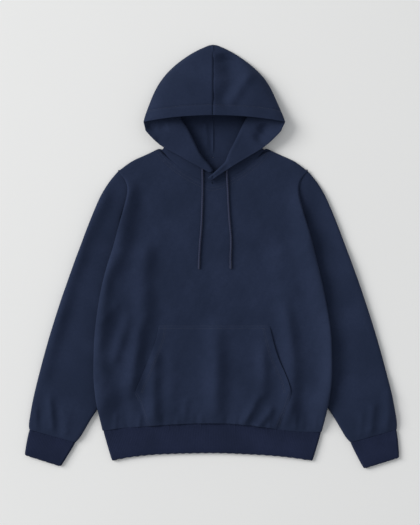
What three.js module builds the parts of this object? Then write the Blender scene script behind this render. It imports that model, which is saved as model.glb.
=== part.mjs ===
// Pullover hoodie laid flat on its back, as a set of sewn cloth walls.
// Millimetres. +X is the viewer's right, +Y runs from hem to hood, +Z is up from the surface.
// The origin is on the surface, below the middle of the garment.
import * as THREE from 'three';

// Cloth and seams
const FLEECE = 2.8;
const RIB_CLOTH = 3.0;
const SEAM_GAP = 0.3;
const LAYER_GAP = 3.6;
const BODY_HEIGHT = FLEECE + LAYER_GAP + FLEECE;
const EDGE_RADIUS = BODY_HEIGHT / 2;

// Rib trims
const RIB_PITCH = 4.0;
const RIB_RAISE = 0.6;
const HEM_HEIGHT = 8.8;
const CUFF_HEIGHT = 9.0;

// Drawcord
const CORD_DIAMETER = 4.4;
const CORD_SIDES = 8;

// Looks
const NAVY = 0x232b42;
const NAVY_RIB = 0x1d233a;
const NAVY_CORD = 0x2b3452;

const LEFT = -1;
const RIGHT = 1;

// Body edge, from the shoulder tip to the waistband seam.
// left and right are half widths, rise is the ridge on top of the cloth, roll is how far the
// cloth turns over in degrees, and tuck is the length that runs back under the edge.
const bodyEdge = [
  { y: 196.6, left: 218.5, right: 218.5, rise: 0.0, roll: 20, tuck: 1.5 },
  { y: 185.1, left: 208.1, right: 208.1, rise: 1.0, roll: 35, tuck: 1.5 },
  { y: 173.6, left: 199.6, right: 199.6, rise: 2.4, roll: 45, tuck: 1.5 },
  { y: 152.9, left: 195.3, right: 196.5, rise: 3.6, roll: 50, tuck: 1.5 },
  { y: 120.7, left: 202.0, right: 202.6, rise: 5.2, roll: 60, tuck: 1.5 },
  { y: 88.5, left: 212.0, right: 212.6, rise: 8.2, roll: 100, tuck: 1.5 },
  { y: 51.7, left: 221.5, right: 223.1, rise: 10.4, roll: 180, tuck: 2.0 },
  { y: 14.9, left: 231.8, right: 232.3, rise: 2.0, roll: 180, tuck: 17.0 },
  { y: -26.4, left: 245.0, right: 242.4, rise: 0.5, roll: 180, tuck: 9.0 },
  { y: -70.1, left: 257.0, right: 253.0, rise: 0.3, roll: 180, tuck: 6.0 },
  { y: -136.8, left: 266.8, right: 265.9, rise: 0.3, roll: 180, tuck: 5.0 },
  { y: -194.3, left: 272.8, right: 272.5, rise: 0.3, roll: 180, tuck: 5.0 },
  { y: -272.5, left: 274.6, right: 273.3, rise: 0.3, roll: 180, tuck: 5.0 },
  { y: -327.8, left: 269.6, right: 267.3, rise: 0.5, roll: 180, tuck: 4.0 },
  { y: -355.3, left: 264.5, right: 262.2, rise: 1.6, roll: 180, tuck: 4.0 },
  { y: -382.0, left: 259.0, right: 256.5, rise: 2.0, roll: 180, tuck: 4.0 },
  { y: -403.0, left: 254.4, right: 250.7, rise: 0.0, roll: 180, tuck: 4.0 },
];

// Armhole seam, half width by height
const armhole = [
  { y: 196.6, half: 218.5 },
  { y: 187.4, half: 208.1 },
  { y: 175.9, half: 200.1 },
  { y: 152.9, half: 195.3 },
  { y: 118.4, half: 201.4 },
  { y: 93.1, half: 210.4 },
  { y: 54.0, half: 213.9 },
  { y: 14.9, half: 209.3 },
];

// Shoulder and neck line of the body, by distance from the centre
const shoulderLine = [
  { x: 121.5, y: 251.2 },
  { x: 145.0, y: 239.0 },
  { x: 165.0, y: 230.0 },
  { x: 184.0, y: 222.0 },
  { x: 204.0, y: 208.0 },
  { x: 218.5, y: 196.6 },
];
const frontNeck = [
  { x: 0.0, y: 164.4 },
  { x: 12.0, y: 167.2 },
  { x: 32.2, y: 175.6 },
  { x: 59.8, y: 191.4 },
  { x: 82.8, y: 207.2 },
  { x: 103.5, y: 225.2 },
  { x: 121.5, y: 251.2 },
];
const backNeck = [
  { x: 0.0, y: 226.8 },
  { x: 40.0, y: 228.0 },
  { x: 80.0, y: 233.0 },
  { x: 105.0, y: 241.0 },
  { x: 121.5, y: 251.2 },
];

// Sleeve, a row for each section from the armhole to the cuff.
// The outer edge is the garment's outline, the inner edge lies under the body down to the notch.
const sleeveRows = [
  { outer: [218.5, 196.6], inner: [209.3, 14.9], edge: 9.2, middle: 9.2, under: 6.4, bow: 1.0 },
  { outer: [238.0, 174.8], inner: [207.9, -1.1], edge: 10.0, middle: 10.2, under: 6.4, bow: 0.62 },
  { outer: [255.3, 148.3], inner: [205.8, -21.8], edge: 11.0, middle: 10.8, under: 6.4, bow: 0.32 },
  { outer: [270.2, 116.1], inner: [204.0, -47.1], edge: 11.6, middle: 11.0, under: 6.4, bow: 0.12 },
  { outer: [286.3, 77.0], inner: [202.4, -77.0], edge: 12.0, middle: 11.0, under: 6.4, bow: 0.0 },
  { outer: [303.6, 31.0], inner: [201.9, -113.8], edge: 12.0, middle: 11.0, under: 6.4, bow: 0.0 },
  { outer: [322.0, -18.4], inner: [202.9, -152.9], edge: 12.0, middle: 11.0, under: 6.4, bow: 0.0 },
  { outer: [340.4, -69.0], inner: [205.2, -194.3], edge: 12.0, middle: 11.0, under: 6.4, bow: 0.0 },
  { outer: [357.6, -120.7], inner: [210.4, -233.4], edge: 12.0, middle: 11.0, under: 6.4, bow: 0.0 },
  { outer: [373.7, -171.3], inner: [219.6, -272.5], edge: 12.0, middle: 11.0, under: 6.6, bow: 0.0 },
  { outer: [388.2, -220.8], inner: [232.3, -304.8], edge: 12.0, middle: 11.4, under: 7.0, bow: 0.0 },
  { outer: [401.3, -270.2], inner: [248.4, -330.0], edge: 12.4, middle: 12.0, under: 8.0, bow: 0.0 },
  { outer: [412.8, -315.1], inner: [266.8, -354.2], edge: 13.0, middle: 13.0, under: 10.0, bow: 0.0 },
  { outer: [419.5, -348.4], inner: [281.8, -377.2], edge: 13.4, middle: 14.0, under: 11.4, bow: 0.0 },
  { outer: [423.2, -371.4], inner: [294.4, -399.0], edge: 13.4, middle: 14.4, under: 12.0, bow: 0.0 },
  { outer: [425.4, -388.0], inner: [305.6, -418.6], edge: 12.0, middle: 12.6, under: 11.4, bow: 0.0 },
  { outer: [424.1, -397.4], inner: [315.4, -427.6], edge: 9.4, middle: 9.4, under: 9.4, bow: 0.0 },
];

// Rib cuffs, a row for each end
const cuffRows = {
  left: [
    { outer: [424.1, -398.0], inner: [315.2, -428.2] },
    { outer: [430.0, -425.0], inner: [330.5, -453.0] },
    { outer: [435.2, -457.5], inner: [349.8, -484.6] },
  ],
  right: [
    { outer: [424.1, -398.0], inner: [315.2, -428.2] },
    { outer: [427.6, -428.0], inner: [329.0, -456.0] },
    { outer: [430.3, -463.4], inner: [346.8, -489.7] },
  ],
};

// Waistband seam and lower edge, height by place across
const hemSeam = [
  { x: -262.0, y: -402.0 },
  { x: -197.8, y: -393.0 },
  { x: -142.6, y: -389.8 },
  { x: -64.4, y: -385.2 },
  { x: 0.0, y: -383.5 },
  { x: 73.6, y: -387.5 },
  { x: 154.1, y: -398.0 },
  { x: 200.1, y: -402.5 },
  { x: 262.0, y: -403.6 },
];
const hemEdge = [
  { x: -233.4, y: -472.0 },
  { x: -190.9, y: -463.8 },
  { x: -117.3, y: -456.8 },
  { x: 0.0, y: -454.2 },
  { x: 103.5, y: -458.2 },
  { x: 158.7, y: -462.2 },
  { x: 230.0, y: -472.0 },
];
const HEM_EDGE_LEFT = 233.4;
const HEM_EDGE_RIGHT = 230.0;

// Kangaroo pocket sides, by height
const pocketSides = [
  { y: -157.5, left: 124.9, right: 130.2 },
  { y: -187.4, left: 128.8, right: 136.8 },
  { y: -215.0, left: 139.6, right: 143.8 },
  { y: -242.0, left: 150.2, right: 153.6 },
  { y: -272.5, left: 163.3, right: 168.6 },
  { y: -296.0, left: 173.6, right: 176.6 },
  { y: -316.2, left: 180.5, right: 180.3 },
  { y: -334.0, left: 172.0, right: 174.0 },
  { y: -360.0, left: 163.6, right: 165.0 },
  { y: -403.0, left: 147.2, right: 147.9 },
];

// Largest folds of the body: a bent line, half width and height
const bodyFolds = [
  { from: [-145, -128], via: [-152, -181], to: [-170, -252], width: 10, height: -1.2 },
  { from: [-159, -171], via: [-189, -296], to: [-170, -392], width: 11, height: 5.0 },
  { from: [-173, -151], via: [-198, -197], to: [-221, -238], width: 12, height: 2.4 },
  { from: [-221, -284], via: [-225, -330], to: [-209, -381], width: 15, height: -1.4 },
  { from: [-122, -220], via: [-127, -307], to: [-122, -392], width: 10, height: -1.8 },
  { from: [-97, -204], via: [-99, -296], to: [-97, -392], width: 14, height: 3.0 },
  { from: [-60, -330], via: [-64, -358], to: [-67, -392], width: 9, height: 2.4 },
  { from: [-14, -181], via: [-16, -284], to: [-16, -394], width: 16, height: 3.6 },
  { from: [21, -204], via: [25, -296], to: [30, -394], width: 11, height: -1.8 },
  { from: [97, -238], via: [101, -312], to: [58, -392], width: 12, height: 4.4 },
  { from: [128, -296], via: [113, -342], to: [87, -394], width: 9, height: -1.8 },
  { from: [127, -339], via: [113, -367], to: [97, -396], width: 10, height: 3.4 },
  { from: [175, -187], via: [189, -302], to: [154, -402], width: 12, height: 5.2 },
  { from: [207, -220], via: [221, -312], to: [179, -402], width: 14, height: -1.4 },
  { from: [251, -302], via: [246, -348], to: [232, -396], width: 13, height: 2.4 },
  { from: [-106, 8], via: [-127, -43], to: [-145, -93], width: 20, height: -1.3 },
  { from: [-166, 181], via: [-166, 141], to: [-170, 107], width: 18, height: -1.3 },
  { from: [168, 130], via: [179, 47], to: [200, -43], width: 22, height: 2.0 },
  { from: [136, 56], via: [145, -26], to: [156, -128], width: 26, height: 1.6 },
];

// Largest folds of the sleeves, on the side that shows
const sleeveFolds = {
  left: [
    { from: [-198, 194], via: [-235, 160], to: [-260, 109], width: 9, height: -1.6 },
    { from: [-263, 98], via: [-315, -54], to: [-361, -204], width: 11, height: -1.6 },
    { from: [-378, -319], via: [-379, -350], to: [-379, -404], width: 9, height: 3.6 },
    { from: [-391, -342], via: [-393, -368], to: [-393, -404], width: 8, height: -1.8 },
    { from: [-352, -365], via: [-350, -390], to: [-350, -412], width: 8, height: -1.8 },
    { from: [-334, -350], via: [-334, -380], to: [-333, -418], width: 9, height: 2.4 },
  ],
  right: [
    { from: [232, 166], via: [250, 96], to: [283, 8], width: 15, height: -1.6 },
    { from: [300, 60], via: [330, -60], to: [352, -170], width: 18, height: 1.4 },
    { from: [403, -322], via: [405, -360], to: [398, -404], width: 10, height: 3.6 },
    { from: [384, -340], via: [383, -372], to: [380, -410], width: 8, height: -1.8 },
    { from: [352, -352], via: [356, -384], to: [356, -414], width: 10, height: 2.4 },
    { from: [336, -372], via: [338, -396], to: [338, -418], width: 7, height: -1.6 },
  ],
};

// Hood above the face opening: half widths and the height of the top layer by row.
// fold is the height of the side fold, roll and turn are the places of the two inner folds as
// shares of the half width, and lift is the height of the layer between them.
const crownRows = [
  { seam: 487.0, side: 486.0, left: 9.0, right: 10.0,
    top: 5.6, fold: 2.8, lift: 1.4, roll: 0.80, turn: 0.60 },
  { seam: 474.0, side: 470.3, left: 46.0, right: 46.0,
    top: 13.0, fold: 4.4, lift: 1.4, roll: 0.80, turn: 0.60 },
  { seam: 452.0, side: 442.7, left: 85.1, right: 85.1,
    top: 21.0, fold: 6.4, lift: 1.4, roll: 0.80, turn: 0.60 },
  { seam: 427.0, side: 415.1, left: 112.7, right: 115.0,
    top: 29.0, fold: 8.6, lift: 1.4, roll: 0.80, turn: 0.60 },
  { seam: 401.0, side: 387.5, left: 131.1, right: 133.4,
    top: 36.0, fold: 11.0, lift: 2.4, roll: 0.76, turn: 0.58 },
  { seam: 375.0, side: 359.9, left: 142.6, right: 144.9,
    top: 41.0, fold: 14.5, lift: 7.0, roll: 0.66, turn: 0.60 },
  { seam: 349.0, side: 334.0, left: 152.5, right: 156.4,
    top: 44.0, fold: 19.0, lift: 14.0, roll: 0.55, turn: 0.60 },
  { seam: 331.0, side: 318.0, left: 157.4, right: 162.4,
    top: 45.0, fold: 23.0, lift: 19.0, roll: 0.49, turn: 0.61 },
  { seam: 321.5, side: 307.0, left: 160.3, right: 166.3,
    top: 44.5, fold: 25.0, lift: 21.0, roll: 0.46, turn: 0.61 },
];

// Hood below the face opening: front edge, inner roll and neck seam or floor turn, by row.
// The first three rows also run on to the centre back seam, to the place backSeam along Y.
const throatRows = {
  left: [
    { edge: [-155.2, 288.6], roll: [-57.5, 294.0], turn: [-103.5, 286.0],
      edgeZ: 23, rollZ: 21, turnZ: 4.5, backSeam: 293 },
    { edge: [-140.3, 271.4], roll: [-47.1, 273.5], turn: [-112.7, 266.0],
      edgeZ: 22, rollZ: 21, turnZ: 5.0, backSeam: 262 },
    { edge: [-118.4, 254.1], roll: [-37.9, 253.8], turn: [-116.8, 248.4],
      edgeZ: 21, rollZ: 21, turnZ: 5.6, backSeam: 228.4, nape: true },
    { edge: [-94.3, 242.6], roll: [-31.0, 238.9], turn: [-102.6, 228.8],
      edgeZ: 20, rollZ: 20.5, turnZ: 8.0 },
    { edge: [-73.6, 231.1], roll: [-23.0, 227.5], turn: [-82.2, 210.6],
      edgeZ: 20, rollZ: 20, turnZ: 8.2 },
    { edge: [-52.9, 218.5], roll: [-14.9, 218.5], turn: [-59.4, 194.5],
      edgeZ: 20, rollZ: 19.5, turnZ: 8.2 },
    { edge: [-28.5, 205.8], roll: [-5.8, 208.5], turn: [-32.0, 178.4],
      edgeZ: 19.5, rollZ: 18.5, turnZ: 8.2 },
    { edge: [-9.0, 194.8], roll: [1.3, 198.2], turn: [-3.8, 167.6],
      edgeZ: 18, rollZ: 17, turnZ: 8.0 },
  ],
  right: [
    { edge: [156.4, 287.5], roll: [62.1, 291.5], turn: [105.8, 286.0],
      edgeZ: 23, rollZ: 21, turnZ: 4.5, backSeam: 293 },
    { edge: [142.6, 272.5], roll: [52.9, 270.8], turn: [115.0, 266.0],
      edgeZ: 22, rollZ: 21.5, turnZ: 5.0, backSeam: 262 },
    { edge: [119.4, 253.8], roll: [41.4, 248.8], turn: [116.8, 248.4],
      edgeZ: 21.5, rollZ: 22.5, turnZ: 5.6, backSeam: 228.4, nape: true },
    { edge: [89.7, 235.7], roll: [34.5, 235.4], turn: [102.6, 228.8],
      edgeZ: 22, rollZ: 23.5, turnZ: 8.0 },
    { edge: [62.1, 219.6], roll: [31.2, 225.2], turn: [82.2, 210.6],
      edgeZ: 22.5, rollZ: 24, turnZ: 8.2 },
    { edge: [41.4, 207.0], roll: [27.0, 215.6], turn: [59.4, 194.5],
      edgeZ: 23.5, rollZ: 24.5, turnZ: 8.2 },
    { edge: [14.8, 189.7], roll: [8.6, 198.5], turn: [32.0, 178.4],
      edgeZ: 24.5, rollZ: 25, turnZ: 8.2 },
    { edge: [-5.8, 174.6], roll: [-11.5, 181.4], turn: [4.6, 167.4],
      edgeZ: 24, rollZ: 24.5, turnZ: 8.2 },
  ],
};
const HOOD_ROLL_RADIUS = 4.6;
const NAPE_GAP = 1.0;
const FLOOR_MIDDLE = FLEECE / 2;

// Drawcord routes, from the hood's hem channel to the free end
const cordRoutes = {
  left: [
    [-23.6, 207.0, 14.6], [-24.2, 200.0, 13.8], [-24.3, 190.0, 13.2], [-24.1, 178.0, 12.8],
    [-23.9, 155.0, 11.9], [-24.4, 130.0, 11.9], [-25.3, 100.0, 11.9], [-26.2, 78.0, 11.9],
    [-27.6, 56.3, 11.9], [-29.6, 34.0, 11.9], [-31.0, 12.0, 11.9], [-32.0, -8.0, 11.9],
    [-32.4, -28.7, 11.9],
  ],
  right: [
    [31.0, 205.0, 18.4], [31.2, 198.0, 16.6], [31.8, 188.0, 14.4], [32.8, 172.0, 12.6],
    [34.0, 152.9, 11.9], [35.0, 130.0, 11.9], [36.2, 108.0, 11.9], [37.8, 84.0, 11.9],
    [39.8, 62.0, 11.9], [41.4, 42.5, 11.9], [41.4, 22.0, 11.9], [40.5, 3.4, 11.9],
    [40.7, -28.7, 11.9],
  ],
};

const clamp = THREE.MathUtils.clamp;
const mix = THREE.MathUtils.lerp;
const ease = (t) => THREE.MathUtils.smoothstep(t, 0, 1);

// Which stretch of a table holds a place, and how far into that stretch it is
function stretchAt(table, along, at) {
  const rising = table[table.length - 1][along] > table[0][along];
  let index = 1;
  while (index < table.length - 1 && (rising ? at > table[index][along] : at < table[index][along])) {
    index += 1;
  }
  const from = table[index - 1][along];
  return { index, t: clamp((at - from) / (table[index][along] - from), 0, 1) };
}

// Value of a named column at a place along a table, in straight stretches
function straightAt(table, along, at, column) {
  const { index, t } = stretchAt(table, along, at);
  return mix(table[index - 1][column], table[index][column], t);
}

// Value of a named column on a smooth curve that never overshoots the table's own values
function lookUp(table, along, at, column) {
  const { index, t } = stretchAt(table, along, at);
  const slope = (i) => (table[i][column] - table[i - 1][column]) / (table[i][along] - table[i - 1][along]);
  const tangent = (i) => {
    if (i === 0) return slope(1);
    if (i === table.length - 1) return slope(i);
    const before = slope(i);
    const after = slope(i + 1);
    return before * after <= 0 ? 0 : (2 * before * after) / (before + after);
  };
  const step = table[index][along] - table[index - 1][along];
  const [a, b] = [table[index - 1][column], table[index][column]];
  const [m, n] = [tangent(index - 1) * step, tangent(index) * step];
  const u = 1 - t;
  return u * u * (1 + 2 * t) * a + t * u * u * m + t * t * (3 - 2 * t) * b - t * t * u * n;
}

// Distance in plan from a point to a bent line, and how far along it the nearest place is
function nearestOnLine(x, y, points) {
  let best = { distance: Infinity, along: 0 };
  points.slice(1).forEach((end, index) => {
    const start = points[index];
    const dx = end[0] - start[0];
    const dy = end[1] - start[1];
    const t = clamp(((x - start[0]) * dx + (y - start[1]) * dy) / (dx * dx + dy * dy), 0, 1);
    const distance = Math.hypot(x - start[0] - t * dx, y - start[1] - t * dy);
    if (distance < best.distance) {
      best = { distance, along: (index + t) / (points.length - 1) };
    }
  });
  return best;
}

// Sum of the folds of a table at one place, each fading out at its ends
function foldHeight(x, y, folds) {
  return folds.reduce((sum, fold) => {
    const curve = new THREE.QuadraticBezierCurve(
      new THREE.Vector2(...fold.from),
      new THREE.Vector2(
        2 * fold.via[0] - (fold.from[0] + fold.to[0]) / 2,
        2 * fold.via[1] - (fold.from[1] + fold.to[1]) / 2,
      ),
      new THREE.Vector2(...fold.to),
    );
    const line = curve.getPoints(6).map((point) => [point.x, point.y]);
    const { distance, along } = nearestOnLine(x, y, line);
    const fade = ease(along / 0.3) * ease((1 - along) / 0.16);
    return sum + fold.height * fade * Math.exp(-((distance / fold.width) ** 2));
  }, 0);
}

// Sleeve under the body: its inner edge, and the height of what lies on it
const innerEdge = sleeveRows.map((row) => row.inner);

function onSleeveSide(half, y) {
  if (y > innerEdge[0][1]) return false;
  const table = sleeveRows.map((row) => ({ y: row.inner[1], half: row.inner[0] }));
  return half > lookUp(table, 'y', y, 'half');
}

function sleeveTopAt(half, y) {
  const { distance, along } = nearestOnLine(half, y, innerEdge);
  const place = along * (sleeveRows.length - 1);
  const first = Math.min(Math.floor(place), sleeveRows.length - 2);
  const under = mix(sleeveRows[first].under, sleeveRows[first + 1].under, place - first);
  const middle = mix(sleeveRows[first].middle, sleeveRows[first + 1].middle, place - first);
  return under + (middle - under) * ease(distance / 60);
}

// How far the body is lifted by the sleeves that lie under its sides
const SLEEVE_CLEARANCE = 0.9;
const RAMP_START = 42;
const RAMP_END = 8;

function sleeveLift(x, y) {
  const half = Math.abs(x);
  if (onSleeveSide(half, y)) return sleeveTopAt(half, y) + SLEEVE_CLEARANCE;
  const { distance, along } = nearestOnLine(half, y, innerEdge);
  const place = Math.min(Math.round(along * (sleeveRows.length - 1)), sleeveRows.length - 1);
  const ramp = ease((RAMP_START - distance) / (RAMP_START - RAMP_END));
  return (sleeveRows[place].under + SLEEVE_CLEARANCE) * ramp;
}

// Upper side of the front panel, before its edge turns over
const EDGE_RAMP = 34;
const BLOUSE = { rise: 3.0, start: 14, length: 34 };
const SEAM_FADE = 16;

function bodyRise(x, y) {
  const side = x < 0 ? 'left' : 'right';
  const edge = lookUp(bodyEdge, 'y', y, side);
  const rise = lookUp(bodyEdge, 'y', y, 'rise');
  return rise * ease(1 - (edge - Math.abs(x)) / EDGE_RAMP);
}

function frontTop(x, y) {
  const toSeam = y - lookUp(hemSeam, 'x', x, 'y');
  const fall = 1 - ease((toSeam - BLOUSE.start) / BLOUSE.length);
  const blouse = BLOUSE.rise * ease(toSeam / BLOUSE.start) * fall;
  const folds = foldHeight(x, y, bodyFolds) * ease(toSeam / SEAM_FADE);
  return BODY_HEIGHT + sleeveLift(x, y) + bodyRise(x, y) + blouse + folds;
}

// Closed wall between an outer and an inner grid of points. keep tells which cells are cloth.
function wallGeometry(outer, inner, { keep = () => true, closed = false, flip = false } = {}) {
  const rows = outer.length;
  const columns = outer[0].length;
  const across = closed ? columns : columns - 1;
  const positions = [];
  const numbers = new Map();
  const vertex = (grid, layer, i, j) => {
    const key = `${layer},${i},${j % columns}`;
    if (!numbers.has(key)) {
      numbers.set(key, positions.length / 3);
      positions.push(...grid[i][j % columns].toArray());
    }
    return numbers.get(key);
  };
  const faces = [];
  const quad = (a, b, c, d) => {
    if (flip) faces.push(a, c, b, a, d, c);
    else faces.push(a, b, c, a, c, d);
  };
  const kept = (i, j) => {
    if (i < 0 || i >= rows - 1) return false;
    if (!closed && (j < 0 || j >= across)) return false;
    return keep(i, (j + across) % across);
  };
  const rim = (i0, j0, i1, j1) => {
    const a = vertex(outer, 'o', i0, j0);
    const b = vertex(outer, 'o', i1, j1);
    const c = vertex(inner, 'i', i1, j1);
    const d = vertex(inner, 'i', i0, j0);
    quad(b, a, d, c);
  };
  for (let i = 0; i < rows - 1; i += 1) {
    for (let j = 0; j < across; j += 1) {
      if (kept(i, j)) {
        const corners = [[i, j], [i, j + 1], [i + 1, j + 1], [i + 1, j]];
        quad(...corners.map(([r, c]) => vertex(outer, 'o', r, c)));
        const [a, b, c, d] = corners.map(([r, column]) => vertex(inner, 'i', r, column));
        quad(a, d, c, b);
        if (!kept(i - 1, j)) rim(i, j, i, j + 1);
        if (!kept(i, j + 1)) rim(i, j + 1, i + 1, j + 1);
        if (!kept(i + 1, j)) rim(i + 1, j + 1, i + 1, j);
        if (!kept(i, j - 1)) rim(i + 1, j, i, j);
      }
    }
  }
  const geometry = new THREE.BufferGeometry();
  geometry.setAttribute('position', new THREE.Float32BufferAttribute(positions, 3));
  geometry.setIndex(faces);
  geometry.computeVertexNormals();
  return geometry;
}

// Inner points of a wall: the outer points moved in along the surface's own direction.
// level keeps a seam edge upright in plan where it meets its neighbour.
function innerGrid(outer, thickness, { closed = false, flip = false, level = () => null } = {}) {
  const rows = outer.length;
  const columns = outer[0].length;
  const columnAt = (j) => (closed ? (j + columns) % columns : clamp(j, 0, columns - 1));
  const at = (i, j) => outer[clamp(i, 0, rows - 1)][columnAt(j)];
  return outer.map((row, i) => row.map((point, j) => {
    const acrossRow = at(i, j + 1).clone().sub(at(i, j - 1));
    const alongRows = at(i + 1, j).clone().sub(at(i - 1, j));
    const normal = acrossRow.cross(alongRows);
    if (flip) normal.negate();
    const flat = level(i, j);
    if (flat) normal.addScaledVector(flat, -normal.dot(flat));
    return point.clone().addScaledVector(normal.normalize(), -thickness);
  }));
}

function cloth(name, geometry, color, roughness = 0.95) {
  const mesh = new THREE.Mesh(geometry, new THREE.MeshStandardMaterial({ color, roughness, metalness: 0 }));
  mesh.name = name;
  return mesh;
}

// Body panels share their rows, so that their seams run in step
const SHOULDER_INSETS = [0, 1.4, 5];
const UPPER_SHARES = [0.06, 0.11, 0.16, 0.23, 0.32, 0.42, 0.513, 0.57, 0.66, 0.78, 0.89];
const UPPER_ROW_COUNT = SHOULDER_INSETS.length + UPPER_SHARES.length;
const lowerRowHeights = pocketSides.map((row) => row.y);
const COLUMNS_OUTSIDE_POCKET = 6;
const COLUMNS_OVER_POCKET = 12;

// Place across the body of one column at one height
function columnX(column, y) {
  const left = -edgeStart(LEFT, y);
  const right = edgeStart(RIGHT, y);
  const guideLeft = -lookUp(pocketSides, 'y', y, 'left');
  const guideRight = lookUp(pocketSides, 'y', y, 'right');
  if (column <= COLUMNS_OUTSIDE_POCKET) {
    return mix(left, guideLeft, column / COLUMNS_OUTSIDE_POCKET);
  }
  const past = column - COLUMNS_OUTSIDE_POCKET;
  if (past <= COLUMNS_OVER_POCKET) return mix(guideLeft, guideRight, past / COLUMNS_OVER_POCKET);
  return mix(guideRight, right, (past - COLUMNS_OVER_POCKET) / COLUMNS_OUTSIDE_POCKET);
}

// Half width at which the front panel starts to turn over its edge
function edgeStart(side, y) {
  const column = side < 0 ? 'left' : 'right';
  const roll = THREE.MathUtils.degToRad(Math.min(lookUp(bodyEdge, 'y', y, 'roll'), 90));
  const tuck = lookUp(bodyEdge, 'y', y, 'tuck') * Math.cos(roll);
  return lookUp(bodyEdge, 'y', y, column) - EDGE_RADIUS * Math.sin(roll) - tuck;
}

function topLine(neck, x) {
  const half = Math.abs(x);
  return half < neck[neck.length - 1].x ? lookUp(neck, 'x', half, 'y') : lookUp(shoulderLine, 'x', half, 'y');
}

// Plan places of the body grid under a given neck line. The rows below LAST_LEVEL_ROW bend
// gradually to the waistband seam, which is read at the place across that HEM_LEVEL gives.
const TOP_SEARCH = { from: 200, steps: 24, share: 0.6 };
const LAST_LEVEL_ROW = -334;
const HEM_LEVEL = -395;

function bodyPlan(neck, place, count) {
  const rows = [];
  const columns = [];
  for (let column = 0; column <= count; column += 1) {
    let y = TOP_SEARCH.from;
    for (let step = 0; step < TOP_SEARCH.steps; step += 1) {
      y = mix(y, topLine(neck, place(column, y)), TOP_SEARCH.share);
    }
    columns.push(y);
  }
  const shares = [
    ...SHOULDER_INSETS.map((inset) => ({ inset })),
    ...UPPER_SHARES.map((share) => ({ share })),
    ...lowerRowHeights.map((y) => ({ y })),
  ];
  shares.forEach((row) => {
    rows.push(columns.map((top, column) => {
      const seam = lookUp(hemSeam, 'x', place(column, HEM_LEVEL), 'y') + SEAM_GAP;
      let y = row.y;
      if (row.inset !== undefined) y = top - row.inset;
      else if (row.share !== undefined) y = mix(top, lowerRowHeights[0], row.share);
      else if (y < LAST_LEVEL_ROW) {
        const last = lowerRowHeights[lowerRowHeights.length - 1];
        y = mix(LAST_LEVEL_ROW, seam, (y - LAST_LEVEL_ROW) / (last - LAST_LEVEL_ROW));
      }
      return [place(column, y), y];
    }));
  });
  return rows;
}

// Edges of a body panel that stand square to their seams: the shoulders and the waistband seam
function seamLevel(rowCount, halfAt) {
  const up = new THREE.Vector3(0, 0, 1);
  const along = new THREE.Vector3(0, 1, 0);
  return (i, j) => {
    if (i === rowCount - 1) return along;
    return i === 0 && halfAt(j) > frontNeck[frontNeck.length - 1].x ? up : null;
  };
}

// Front panel: the upper side, with its two side edges turned over and its shoulders rounded down
const ROLL_STEPS = 4;
const SHOULDER_RADIUS = EDGE_RADIUS - SEAM_GAP / 2;

function edgeTurn(side, y) {
  const roll = THREE.MathUtils.degToRad(lookUp(bodyEdge, 'y', y, 'roll'));
  const tuck = lookUp(bodyEdge, 'y', y, 'tuck');
  const start = edgeStart(side, y);
  const top = frontTop(side * start, y);
  const points = [];
  for (let step = 1; step <= ROLL_STEPS; step += 1) {
    const angle = roll * (step / ROLL_STEPS);
    points.push([start + EDGE_RADIUS * Math.sin(angle), top - EDGE_RADIUS * (1 - Math.cos(angle))]);
  }
  const [half, height] = points[points.length - 1];
  points.push([half + tuck * Math.cos(roll), height - tuck * Math.sin(roll)]);
  return points;
}

// The shoulder rows sink round the top edge to the shoulder seam
const SHOULDER_DROPS = [1, 0.27, 0];
const NECK_BLEND = 16;

function shoulderDrop(x, inRow) {
  const past = Math.abs(x) - frontNeck[frontNeck.length - 1].x;
  return (SHOULDER_DROPS[inRow] ?? 0) * SHOULDER_RADIUS * ease(1 + past / NECK_BLEND);
}

function frontPanel() {
  const count = 2 * COLUMNS_OUTSIDE_POCKET + COLUMNS_OVER_POCKET;
  const plan = bodyPlan(frontNeck, columnX, count);
  const outer = plan.map((row, i) => {
    const middle = row.map(([x, y]) => new THREE.Vector3(x, y, frontTop(x, y) - shoulderDrop(x, i)));
    const edge = (side, y) => edgeTurn(side, y).map(([half, z]) => new THREE.Vector3(side * half, y, z));
    return [...edge(LEFT, row[0][1]).reverse(), ...middle, ...edge(RIGHT, row[count][1])];
  });
  outer.slice(0, SHOULDER_INSETS.length).flat().forEach((point) => {
    point.z = Math.max(point.z, EDGE_RADIUS + SEAM_GAP / 2);
  });
  const level = seamLevel(plan.length, (j) => Math.abs(outer[0][j].x));
  return { outer, inner: innerGrid(outer, FLEECE, { flip: true, level }) };
}

// Back panel: flat on the surface, lifted at its sides by the sleeves
const BACK_STEPS = [0, 16, 32, 50, 70, 95];
const BACK_MIDDLE_COLUMNS = 6;
const BACK_SET = 0.8;

function seamHalf(side, y) {
  if (y > armhole[armhole.length - 1].y) return lookUp(armhole, 'y', y, 'half') - BACK_SET;
  const points = edgeTurn(side, y);
  return points[points.length - 1][0] - SEAM_GAP;
}

function backColumnX(column, y) {
  const last = 2 * (BACK_STEPS.length - 1) + BACK_MIDDLE_COLUMNS;
  if (column < BACK_STEPS.length) return -(seamHalf(LEFT, y) - BACK_STEPS[column]);
  const mirrored = last - column;
  if (mirrored < BACK_STEPS.length) return seamHalf(RIGHT, y) - BACK_STEPS[mirrored];
  const widest = BACK_STEPS[BACK_STEPS.length - 1];
  const share = (column - BACK_STEPS.length + 1) / BACK_MIDDLE_COLUMNS;
  return mix(-(seamHalf(LEFT, y) - widest), seamHalf(RIGHT, y) - widest, share);
}

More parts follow.
